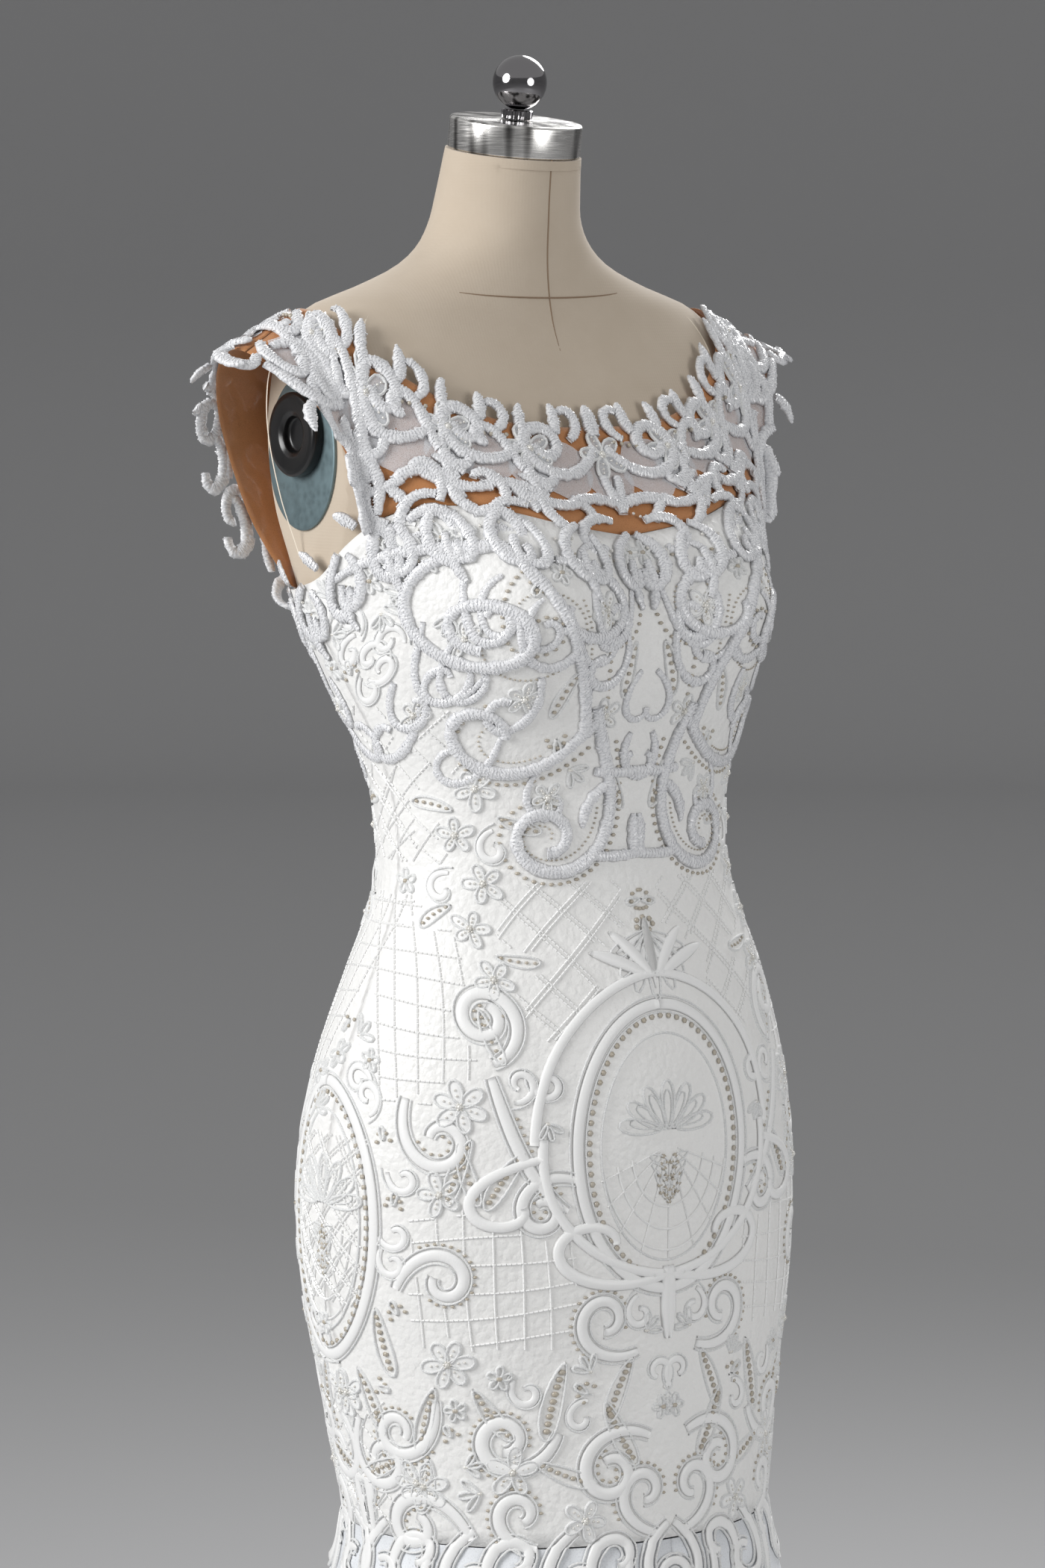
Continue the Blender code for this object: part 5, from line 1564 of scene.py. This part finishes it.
class Embroidery(LaceWork):
    """Embroidery of one side of the dress, drawn flat and mirrored about its centre."""

    def __init__(self, seed, lay):
        super().__init__(seed)
        self.pads, self.stitches, self.used = MeshMaker(), BeadRows(), Used()
        self.petals = self.pads

        def lay_marked(along, down, lift):
            return lay(along, down, lift)

        self.lay = lay_marked

    def soft_band(self, along, down, half, rise=1.2, lift=0.15, outline=True, mark=True):
        """A padded satin-stitch band between two stitched outlines."""
        points, facing = self.lay(along, down, np.full(len(along), lift))
        sweep(self.pads, points, facing, half, rise * np.clip(half / 3.6, 0.4, 1.2), CLOSED_CORD, True)
        if outline:
            slope = unit(np.gradient(np.stack([along, down], -1), axis=0))
            for side in (1, -1):
                x = along - side * slope[:, 1] * (half + 1.3)
                y = down + side * slope[:, 0] * (half + 1.3)
                self.thin_cord(self.lay, x, y, 0.8, 0.1, 1.1)
        if mark:
            self.used.mark(along, APPLIQUE_TOP - down, float(np.max(half)) + 3)

    def beads_beside(self, along, down, half, side, spacing=5.2, size=1.9, start=0.12, end=0.86):
        """A row of flat oval beads along one side of a band."""
        slope = unit(np.gradient(np.stack([along, down], -1), axis=0))
        x = along - side * slope[:, 1] * (half + 3.0)
        y = down + side * slope[:, 0] * (half + 3.0)
        first, last = int(len(x) * start), int(len(x) * end)
        if last - first > 3:
            sizes = (size, size * 0.68, 0.7)
            self.bead_row(self.drops, self.lay, x[first:last], y[first:last], spacing, sizes, 0.5)

    def leaf(self, leaf, flip):
        x, y = petal_loop(flip * leaf.along, APPLIQUE_TOP - leaf.z, 0, leaf.length, leaf.width, 18)
        heading = math.radians(leaf.heading)
        x, y = x - flip * leaf.along, y - (APPLIQUE_TOP - leaf.z)
        bend = 5.0 * (x / leaf.length) ** 2
        y = y + bend
        along = flip * (leaf.along + x * math.cos(heading) - y * math.sin(heading))
        down = APPLIQUE_TOP - leaf.z + x * math.sin(heading) + y * math.cos(heading)
        self.thin_cord(self.lay, along, down, 1.0, 0.2, 1.3)
        middle = np.linspace(0.12, 0.88, 12)
        mx, my = leaf.length * middle, 5.0 * middle ** 2
        a = flip * (leaf.along + mx * math.cos(heading) - my * math.sin(heading))
        b = APPLIQUE_TOP - leaf.z + mx * math.sin(heading) + my * math.cos(heading)
        size = max(1.1, leaf.width * 0.13)
        self.bead_row(self.drops, self.lay, a, b, 4.4, (size * 1.3, size, 0.8), 0.6)
        self.used.mark(a, APPLIQUE_TOP - b, leaf.width / 2 + 3)

    def stitch_line(self, along, down, spacing=GRID_STITCH, size=(1.35, 0.85, 0.8)):
        along, down = np.asarray(along, float), np.asarray(down, float)
        length = np.hypot(np.diff(along), np.diff(down)).sum()
        if length < 4:
            return
        self.bead_row(self.stitches, self.lay, along, down, spacing, size, 0.35, self.lies_along(along, down, spacing))

    def lies_along(self, along, down, spacing):
        lengths = np.concatenate([[0.0], np.cumsum(np.hypot(np.diff(along), np.diff(down)))])
        at = np.linspace(0, lengths[-1], max(2, int(lengths[-1] / spacing) + 1))
        x, y = np.interp(at, lengths, along), np.interp(at, lengths, down)
        points, _ = self.lay(x, y, np.zeros(len(x)))
        return unit(np.gradient(points, axis=0))

    def stitched_grid(self, grid, flip):
        """Two sets of dotted lines, cut off where other work lies."""
        centre = ((grid.low + grid.high) / 2, (grid.bottom + grid.top) / 2)
        reach = math.hypot(grid.high - grid.low, grid.top - grid.bottom) / 2
        count = int(reach / grid.pitch) + 1
        run = np.arange(-reach, reach, 2.0)
        for turn in (grid.tilt, grid.tilt + 90):
            heading = math.radians(turn)
            for n in range(-count, count + 1):
                for aside in ((-1.4, 1.4) if grid.double else (0.0,)):
                    off = n * grid.pitch + aside + 0.5 * math.sin(n * 2.3)
                    bow = 1.6 * np.sin(run / 27 + n)
                    x = centre[0] + run * math.cos(heading) - (off + bow) * math.sin(heading)
                    z = centre[1] + run * math.sin(heading) + (off + bow) * math.cos(heading)
                    inside = (x > grid.low) & (x < grid.high) & (z > grid.bottom) & (z < grid.top)
                    row, column = self.used.spots(flip * x, z)
                    inside &= ~self.used.cells[row, column]
                    for part in np.split(np.arange(len(x)), np.flatnonzero(np.diff(inside.astype(int))) + 1):
                        if inside[part[0]] and len(part) > 3:
                            self.stitch_line(flip * x[part], APPLIQUE_TOP - z[part])
        x, z = np.meshgrid(np.arange(grid.low, grid.high, 6), np.arange(grid.bottom, grid.top, 6))
        return flip * x.ravel(), z.ravel()

    def medallion(self, along, z, wide, high, whole=True):
        """An oval band with a ring of beads, a web of dotted cord and a palmette above it."""
        angles = np.linspace(0, 2 * math.pi, 97)
        x, y = along + wide * np.sin(angles), z + high * np.cos(angles)
        down = APPLIQUE_TOP - y
        self.soft_band(x, down, np.full(len(x), 3.8), 1.3)
        inner = 0.88
        bx, by = along + wide * inner * np.sin(angles), z + high * (inner + 0.04) * np.cos(angles)
        self.bead_row(self.drops, self.lay, bx, APPLIQUE_TOP - by, 6.3, (2.1, 2.1, 0.8), 0.6, both_ends=False)
        ring = 0.76
        self.thin_cord(self.lay, along + wide * ring * np.sin(angles), APPLIQUE_TOP - z - high * 0.8 * np.cos(angles))
        hub = z + high * 0.02
        for k in range(-4, 5):
            turn = math.radians(180 + k * 17)
            reach = 0.78 / math.hypot(math.sin(turn) / wide, math.cos(turn) / high * 0.95)
            share = np.linspace(0.16, 1, 20)
            rx, ry = along + share * reach * math.sin(turn), hub + share * reach * math.cos(turn)
            self.stitch_line(rx, APPLIQUE_TOP - ry, 2.1, (1.05, 0.75, 0.7))
            tx, ty = along + 0.3 * reach * math.sin(turn), hub + 0.3 * reach * math.cos(turn)
            px, py = petal_loop(tx, APPLIQUE_TOP - ty, 90 + k * -17, 14, 6.4)
            self.thin_cord(self.lay, px, py, 0.7, 0.2, 1.1)
            self.bead_row(self.drops, self.lay, px[4:10], py[4:10], 5, (2.2, 1.6, 0.9), 0.5)
        for share in (0.44, 0.6, 0.75):
            turn = np.radians(np.linspace(108, 252, 40))
            scale = share / np.hypot(np.sin(turn) / wide, np.cos(turn) / high)
            self.stitch_line(along + scale * np.sin(turn), APPLIQUE_TOP - hub - scale * np.cos(turn), 2.1)
        for k in range(-3, 4):
            heading = -90 + k * 27
            px, py = petal_loop(along + 6 * math.sin(math.radians(k * 27)), APPLIQUE_TOP - hub - 10, heading, 30, 12)
            self.thin_cord(self.lay, px, py, 0.95, 0.2, 1.5)
            px, py = petal_loop(along + 6 * math.sin(math.radians(k * 27)), APPLIQUE_TOP - hub - 12, heading, 22, 7)
            self.thin_cord(self.lay, px, py, 0.6, 0.2, 1.0)
        if whole:
            knot = z + high + 44
            for k in range(-3, 4):
                heading = 90 + k * 21
                reach = 42 - 3.2 * abs(k)
                px, py = petal_loop(along, APPLIQUE_TOP - knot, heading, reach, 10)
                self.thin_cord(self.lay, px, py, 0.8, 0.2, 1.3)
                cx = along + np.linspace(4, reach * 0.82, 8) * math.cos(math.radians(heading))
                cy = APPLIQUE_TOP - knot + np.linspace(4, reach * 0.82, 8) * math.sin(math.radians(heading))
                self.soft_band(cx, cy, np.full(8, 2.1) * np.sin(np.linspace(0.5, 2.9, 8)), 1.8, outline=False)
            around = np.linspace(0, 2 * math.pi, 9)[:-1]
            bx, by = along + 6.5 * np.cos(around), APPLIQUE_TOP - knot - 4 + 4.5 * np.sin(around)
            self.bead_row(self.drops, self.lay, bx, by, 4.6, (2.0, 2.0, 0.9), 0.7)
        grid = np.stack(np.meshgrid(np.linspace(-1, 1, 30), np.linspace(-1, 1, 40)), -1).reshape(-1, 2)
        grid = grid[np.hypot(grid[:, 0], grid[:, 1]) < 1]
        self.used.mark(along + grid[:, 0] * wide, z + grid[:, 1] * high, 4)
        if whole:
            self.used.mark(along + np.linspace(-28, 28, 9), np.full(9, z + high + 20), 16)

    def fillers(self, quarter, low=616.0):
        """Small curls, sprigs, flowers and beads in every part that is still free."""
        rng = self.random
        heights = np.arange(low, 1280, FILL_PITCH)
        for row, z in enumerate(heights):
            edge = float(np.interp(z, GIRTH_HEIGHTS, quarter))
            for s in np.arange(FILL_PITCH * (0.3 + 0.5 * (row % 2)), edge - 5, FILL_PITCH):
                at_s, at_z = s + rng.uniform(-3, 3), z + rng.uniform(-3, 3)
                top = float(bodice_top(self.turn_of(at_s, at_z)))
                if at_z > top - 9 or not self.used.free(at_s, at_z, FILL_CLEAR):
                    continue
                kind, heading, size = rng.random(), rng.uniform(0, 360), rng.uniform(0.85, 1.15)
                for flip in (1, -1):
                    self.filler(kind, at_s, at_z, heading, size, flip)
                self.used.mark([at_s, -at_s], [at_z, at_z], 8.5 * size)

    def turn_of(self, along, z):
        return float(np.abs(turn_at(np.array([along]), np.array([z])))[0])

    def filler(self, kind, s, z, heading, size, flip):
        down = APPLIQUE_TOP - z
        if kind < 0.42:
            stroke = Stroke(0, 0, heading, 42 * size, 4.0, 14.0, 2.8, 5.2, 3.4)
            along, across, half = stroke_line(stroke)
            along, across = along - along.mean() + s, across - across.mean() + down
            self.soft_band(flip * along, across, half, 1.7, outline=False, mark=False)
            self.thin_cord(self.lay, flip * (along + (along - s) * 0.42), across + (across - down) * 0.42, 0.8, 0.1, 1.1)
        elif kind < 0.66:
            for k in (-1, 0, 1):
                turn = heading + 46 * k
                x, y = petal_loop(s, down, turn, 12 * size, 4.6 * size, 11)
                self.thin_cord(self.lay, flip * x, y, 1.15, 0.2, 1.7)
            self.bead_row(self.seeds, self.lay, flip * np.array([s - 0.5, s + 0.5]), np.array([down, down]), 2, 1.5, 0.8)
        elif kind < 0.82:
            for k in range(5):
                x, y = petal_loop(s, down, heading + 72 * k, 8.2 * size, 5.4 * size, 10)
                self.thin_cord(self.lay, flip * x, y, 1.1, 0.2, 1.6)
            self.bead_row(self.drops, self.lay, flip * np.array([s - 0.5, s + 0.5]), np.array([down, down]), 2, 1.7, 0.9)
        else:
            turn = np.radians(heading + np.array([0, 50, 100, 150, 200]))
            x, y = s + 5.4 * size * np.cos(turn), down + 5.4 * size * np.sin(turn)
            self.bead_row(self.drops, self.lay, flip * x, y, 4.4, (1.9, 1.4, 0.8), 0.6)
            x, y = petal_loop(s, down, heading + 100, 9 * size, 5 * size, 10)
            self.thin_cord(self.lay, flip * x, y, 1.1, 0.2, 1.6)

    def build(self, name, beaded_name, slot, replaced=()):
        made = []
        if self.pads.count:
            made.append(finish_piece(self.pads.build(name + "_padding", material(padded_thread))))
        if self.stitches.count():
            made.append(finish_piece(self.stitches.sew(name + "_stitches", material(padded_thread), 0.85, 1.9, 4)))
        return made + super().build(name, beaded_name, slot, replaced)


QUARTER_GIRTHS = GIRTHS[:, 60]
BACK_QUARTERS = GIRTHS[:, -1] - GIRTHS[:, 60]


def back_turn_of(along, z):
    half = float(np.interp(z, GIRTH_HEIGHTS, GIRTHS[:, -1]))
    return float(np.abs(turn_at(np.array([half - abs(along)]), np.array([z])))[0])


def embroider(name, lay, seed, quarter, sheets, is_front):
    """Embroiders one side of the fitted dress."""
    work = Embroidery(seed, lay)
    if not is_front:
        work.turn_of = back_turn_of
        for stroke in BODICE_APPLIQUE[:6]:
            along, down, half = stroke_line(stroke, 2.6)
            for flip in (1, -1):
                work.beaded_cord(lay, flip * (along + 14), down + 18, half * 0.8, 0.2, 2.6, pitch=3.0)
                work.used.mark(flip * (along + 14), APPLIQUE_TOP - down - 18, 6)
        work.used.mark(np.zeros(60), np.linspace(980, 1240, 60), 15)
    else:
        for table in (BODICE_APPLIQUE, HIP_APPLIQUE):
            for stroke in table:
                along, down, half = stroke_line(stroke, 2.6)
                along = along * PANEL_STRETCH
                for flip in (1, -1):
                    work.used.mark(flip * along, APPLIQUE_TOP - down, 6)
                    if table is BODICE_APPLIQUE and stroke.length > 90:
                        work.beads_beside(flip * along, down, half, flip, 5.4, 1.9)
                        work.beads_beside(flip * along, down, half, -flip, 3.2, 1.0, 0.3, 0.95)
    work.medallion(0.0, MEDALLION_Z, MEDALLION_WIDE, MEDALLION_HIGH)
    edge = float(np.interp(850, GIRTH_HEIGHTS, quarter))
    for flip in (1, -1):
        if is_front:
            work.medallion(flip * edge, 850.0, 44.0, 86.0, whole=False)
    for stroke in SOFT_SCROLLS:
        along, down, half = stroke_line(stroke)
        z = APPLIQUE_TOP - down
        limit = np.interp(z, GIRTH_HEIGHTS, quarter) + 6
        keep = along < limit
        if keep.sum() < 12 or not keep[0]:
            continue
        along, down, half = along[keep], down[keep], half[keep]
        for flip in (1, -1):
            work.soft_band(flip * along, down, half, 1.3)
            work.beads_beside(flip * along, down, half, flip, 5.0, 1.6, 0.3, 0.9)
    lower = float(np.interp(652, GIRTH_HEIGHTS, quarter))
    for n in range(int(lower / LOWER_PITCH) + 1):
        for stroke in LOWER_SCROLLS:
            along, down, half = stroke_line(stroke)
            along = along + n * LOWER_PITCH
            if along.max() < lower + 8:
                for flip in (1, -1):
                    work.soft_band(flip * along, down, half, 1.4)
    for stroke in BODICE_SCROLLS:
        along, down, half = stroke_line(stroke)
        for flip in (1, -1):
            work.beaded_cord(lay, flip * along, down, half * 0.85, 0.2, 1.9, pitch=2.4)
            work.used.mark(flip * along, APPLIQUE_TOP - down, 5)
    for bloom in FLOWERS:
        for flip in (1, -1):
            turn = bloom.turn if flip > 0 else 180 - bloom.turn
            work.flower(lay, flip * bloom.along, APPLIQUE_TOP - bloom.z, bloom.length, turn, 0.2, bloom.petals, 3)
            work.used.mark([flip * bloom.along], [bloom.z], bloom.length + 1)
    for leaf in LEAVES:
        for flip in (1, -1):
            work.leaf(leaf, flip)
    taken = []
    for grid in GRIDS:
        for flip in (1, -1):
            taken.append(work.stitched_grid(grid, flip))
    for x, z in taken:
        work.used.mark(x, z, 5)
    work.fillers(quarter)
    made = work.build(name, "_beaded_scrolls", "lace")
    SHEETS[sheets[0]][4].extend(made)


def make_embroidery():
    embroider("embroidery_front", on_front, 31, QUARTER_GIRTHS, ["satin_front"], True)
    embroider("embroidery_back", on_back, 32, BACK_QUARTERS, ["satin_back_left", "satin_back_right"], False)


# The flounce

def make_flounce():
    for name, first, last, node in FLOUNCE_GORES:
        columns, rows = 100, 34
        share = np.linspace(0, 1, rows + 1)[:, None] ** 0.9
        held_in = np.degrees(SEWN_GAP / np.linalg.norm(flounce_points(first, share)[..., :2], axis=-1))
        spread = np.linspace(0, 1, columns + 1)[None, :]
        turns = first + held_in + (last - first - 2 * held_in) * spread
        points = flounce_points(turns, np.broadcast_to(share, turns.shape))
        ripple = 1.5 * share ** 1.3 * np.sin(np.radians(turns) * 61 + 3 * share)
        ripple = ripple + 0.9 * share ** 0.8 * np.sin(np.radians(turns) * 97 - 2 * share)
        out = np.stack([np.sin(np.radians(turns)), -np.cos(np.radians(turns)), np.zeros_like(turns)], -1)
        points = points + out * (ripple - 0.6)[..., None]
        maker = MeshMaker()
        maker.grid(points)
        made = maker.build(name, material(flounce_tulle))
        thicken(made, 0.8, -1.0)
        finish_piece(made, [node])
        SHEETS[name] = (made, points, "hung", ["satin_front", "satin_back_left"], [])


FLOUNCE_GORES = [
    ("tulle_front_left", 0, 90, "flounce_front_left"),
    ("tulle_back_left", 90, 180, "flounce_back_left"),
    ("tulle_back_right", 180, 270, "flounce_back_right"),
    ("tulle_front_right", 270, 360, "flounce_front_right"),
]


# Covered buttons

def make_buttons():
    maker, loops = MeshMaker(), MeshMaker()
    nodes = []
    for n in range(BUTTONS):
        low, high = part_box(f"button_{n + 1}")
        centre = (low + high) / 2 / MM
        z = BUTTON_TOP - n * BUTTON_PITCH
        out = Vector(body_facing(np.array([180.0]), np.array([z]))[0])
        facing = Vector((0, 0, 1)).rotation_difference(out).to_matrix().to_4x4()
        seat = centre - out * (BUTTON_RISE / 2)
        dome = [(0, BUTTON_RISE), (2, 4.4), (3.8, 3.7), (5.2, 2.6), (BUTTON_RADIUS, 1.2), (5.8, 0.3), (5.2, 0), (0, 0)]
        turned(maker, dome, 24, Matrix.Translation(seat) @ facing)
        angles = np.linspace(-0.62 * math.pi, 0.62 * math.pi, 15)
        ring = seat + out * 0.7
        x = ring.x - 6.6 * np.cos(angles) - 3.0
        points = np.stack([x, np.full(15, ring.y), ring.z + 6.6 * np.sin(angles)], -1)
        sweep(loops, points, np.tile(np.array(out), (15, 1)), 0.75, 1.3, CLOSED_CORD, True)
        nodes.append(f"button_{n + 1}")
    finish_piece(maker.build("covered_buttons", material(duchess_satin)), nodes)
    finish_piece(loops.build("button_loops", material(padded_thread)))


# Stage

def make_stage():
    settings = bpy.context.scene.dress_stage
    floor_finish = Finish("Matt painted floor", linear(settings.floor_colour), 0.8)
    floor_finish.tint(floor_finish.noise(400), linear(settings.floor_colour), linear(settings.floor_colour))
    maker = MeshMaker()
    bend = np.linspace(0, math.pi / 2, 13)
    cove = [(12000 + 1500 * math.sin(a), 1500 * (1 - math.cos(a))) for a in bend]
    turned(maker, [(0, 0), (3000, 0), (8000, 0)] + cove + [(13500, 5400)], 96, Matrix.Identity(4))
    floor = maker.build("studio_floor", floor_finish.material)
    world = bpy.data.worlds.new("Soft studio light")
    world.use_nodes = True
    background = world.node_tree.nodes["Background"]
    background.inputs["Color"].default_value = (*linear(settings.world_colour), 1)
    background.inputs["Strength"].default_value = settings.world_strength
    bpy.context.scene.world = world
    # Whites stay white
    bpy.context.scene.view_settings.view_transform = "Standard"
    right = Vector((math.cos(CAMERA_TURN), math.sin(CAMERA_TURN), 0))
    back_way = Vector((math.sin(CAMERA_TURN), -math.cos(CAMERA_TURN), 0))
    centre = Vector((0, 0, 1.05))
    for name, offset, size, power in (
        ("Key softbox", right * -2.5 + back_way * 1.3 + Vector((0, 0, 1.2)), 1.7, settings.key_power),
        ("Fill softbox", right * 2.4 + back_way * 2.2 + Vector((0, 0, 0.5)), 1.8, settings.fill_power),
        ("Back softbox", right * 0.8 - back_way * 2.2 + Vector((0, 0, 1.7)), 1.4, settings.back_power),
    ):
        light = bpy.data.lights.new(name, "AREA")
        light.shape = "DISK"
        light.size = size
        light.energy = power
        lamp = bpy.data.objects.new(name, light)
        lamp.location = centre + offset
        lamp.rotation_euler = (-offset).to_track_quat("-Z", "Y").to_euler()
        bpy.context.scene.collection.objects.link(lamp)
    camera = bpy.data.cameras.new("Camera")
    camera.lens, camera.sensor_width = LENS, SENSOR
    eye = bpy.data.objects.new("Camera", camera)
    aim = Vector((0, 0, AIM_HEIGHT)) - right * AIM_LEFT
    eye.location = aim + back_way * CAMERA_DISTANCE
    eye.location.z = CAMERA_HEIGHT
    eye.rotation_euler = (aim - eye.location).to_track_quat("-Z", "Y").to_euler()
    bpy.context.scene.collection.objects.link(eye)
    bpy.context.scene.camera = eye


def declare_sheets():
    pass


# Settings, operators and panel

def colour_property(name, description, default):
    return bpy.props.StringProperty(name=name, description=description + ", as an sRGB hex value", default=default)


class DressColours(bpy.types.PropertyGroup):
    """The colours of the cloth, lace, beads, form and metal."""

    satin: colour_property("Satin", "Colour of the satin under the lace", "#F6F5F3")
    satin_shade: colour_property("Satin shade", "Second tone of the satin", "#F0F0EE")
    lace: colour_property("Lace", "Colour of the lace cord", "#F7F7F5")
    # Painted shade between the threads of the lace cord
    lace_painted_gap_shade: colour_property("Lace shade", "Painted shade between the threads of the lace cord", "#DFE0E0")
    thread: colour_property("Padded thread", "Colour of the padded satin stitch", "#F5F5F4")
    beaded: colour_property("Beaded cord", "Colour of the cord that is covered in bugles", "#FBFBFC")
    # Painted shade between the bugles of the beaded cord, and also the bugles' random second tone
    bugle_tone_and_painted_gap_shade: colour_property("Beaded cord shade", "Painted shade between the bugles on the cord, and the bugles' second tone", "#DDDEE1")
    bugle: colour_property("Bugle", "Colour of the glass bugles", "#FAFAFB")
    bead: colour_property("Seed bead", "Colour of the glass seed beads", "#F6F5F1")
    bead_shade: colour_property("Seed bead shade", "Second tone of the seed beads", "#CFCBC2")
    sequin: colour_property("Sequin", "Colour of the clear sequins and oval beads", "#C2BCB2")
    sequin_warm: colour_property("Warm sequin", "Second tone of the sequins", "#B3A792")
    net: colour_property("Net", "Colour of the nude net", "#D6965F")
    net_shade: colour_property("Net shade", "Second tone of the nude net", "#CA8A56")
    net_cover: bpy.props.FloatProperty(
        name="Net cover", description="How much of what lies under it the net hides", default=0.76,
        min=0.2, max=1.0, subtype="FACTOR",
    )
    tulle: colour_property("Tulle", "Colour of the tulle", "#EEF1F5")
    linen: colour_property("Linen", "Colour of the form's cover", "#CBBDAB")
    linen_shade: colour_property("Linen shade", "Second tone of the cover", "#C2B3A0")
    seam_dark: colour_property("Dark seam", "Colour of the form's centre and neck seams", "#8E7862")
    seam_light: colour_property("Light seam", "Colour of the form's chest seams", "#EFE4D2")
    steel: colour_property("Steel", "Colour of the brushed steel", "#F0EEEB")
    # Painted reflection: the dark upright streaks painted into the brushed steel
    steel_painted_reflection_dark: colour_property("Steel painted reflection", "Colour of the painted dark reflection streaks in the brushed steel", "#5E5C5A")
    chrome: colour_property("Chrome", "Colour of the polished steel", "#9A989A")
    zinc: colour_property("Zinc", "Colour of the arm plates", "#7F9297")
    zinc_shade: colour_property("Zinc shade", "Second tone of the arm plates", "#6F8287")
    black: colour_property("Black plastic", "Colour of the arm sockets", "#121213")


class DressStage(bpy.types.PropertyGroup):
    """The floor and light around the dress."""

    floor_colour: colour_property("Floor", "Colour of the floor and backdrop", "#B8B8B9")
    world_colour: colour_property("Sky", "Colour of the light from all round", "#E4E4E4")
    world_strength: bpy.props.FloatProperty(
        name="Sky strength", description="Strength of the light from all round", default=0.52, min=0.0,
    )
    key_power: bpy.props.FloatProperty(
        name="Key light", description="Power of the light from the left", default=80.0, min=0.0, unit="POWER",
    )
    fill_power: bpy.props.FloatProperty(
        name="Fill light", description="Power of the light from the right", default=30.0, min=0.0, unit="POWER",
    )
    back_power: bpy.props.FloatProperty(
        name="Back light", description="Power of the light from behind", default=45.0, min=0.0, unit="POWER",
    )


def operator(idname, label, description, *steps):
    """An operator that makes one group of pieces."""

    def execute(self, context):
        for step in steps:
            step()
        return {"FINISHED"}

    fields = {"bl_idname": idname, "bl_label": label, "__doc__": description, "execute": execute}
    return type("DRESS_OT_" + idname.split(".")[1], (bpy.types.Operator,), fields)


OPERATORS = [
    operator("dress.make_form", "Dress form", "Makes the linen form with its seams", make_form_cover),
    operator("dress.make_metal", "Neck cap and arm plates", "Makes the form's metalwork and dresses the stand",
             make_neck_metal, make_arm_plates, dress_stand),
    operator("dress.make_satin", "Satin panels", "Makes the three satin panels of the fitted dress", make_satin),
    operator("dress.make_yoke", "Net yoke", "Makes the sheer yoke", make_yoke),
    operator("dress.make_border", "Lace border", "Makes the corded and beaded lace of the yoke", make_border),
    operator("dress.make_applique", "Applique", "Makes the thick corded applique of the front", make_applique),
    operator("dress.make_embroidery", "Embroidery", "Makes the embroidery of the satin", make_embroidery),
    operator("dress.make_flounce", "Flounce", "Makes the tulle flounce", make_flounce),
    operator("dress.make_buttons", "Buttons", "Makes the covered buttons and their loops", make_buttons),
    operator("dress.declare_cloth", "Cloth sizes", "States the cut of each cloth sheet", declare_sheets),
    operator("dress.make_stage", "Stage", "Makes the floor, lights and camera", make_stage),
]


class DRESS_PT_pieces(bpy.types.Panel):
    """Lists the operators that make the dress."""

    bl_label = "Lace wedding dress"
    bl_space_type = "VIEW_3D"
    bl_region_type = "UI"
    bl_category = "Dress"

    def draw(self, context):
        for cls in OPERATORS:
            self.layout.operator(cls.bl_idname)


GROUPS = [DressColours, DressStage]


def register():
    for cls in GROUPS + OPERATORS + [DRESS_PT_pieces]:
        bpy.utils.register_class(cls)
    bpy.types.Scene.dress_colours = bpy.props.PointerProperty(type=DressColours)
    bpy.types.Scene.dress_stage = bpy.props.PointerProperty(type=DressStage)


def unregister():
    del bpy.types.Scene.dress_colours
    del bpy.types.Scene.dress_stage
    for cls in reversed(GROUPS + OPERATORS + [DRESS_PT_pieces]):
        bpy.utils.unregister_class(cls)


def main():
    register()
    for cls in OPERATORS:
        category, name = cls.bl_idname.split(".")
        getattr(getattr(bpy.ops, category), name)()


if __name__ == "__main__":
    main()
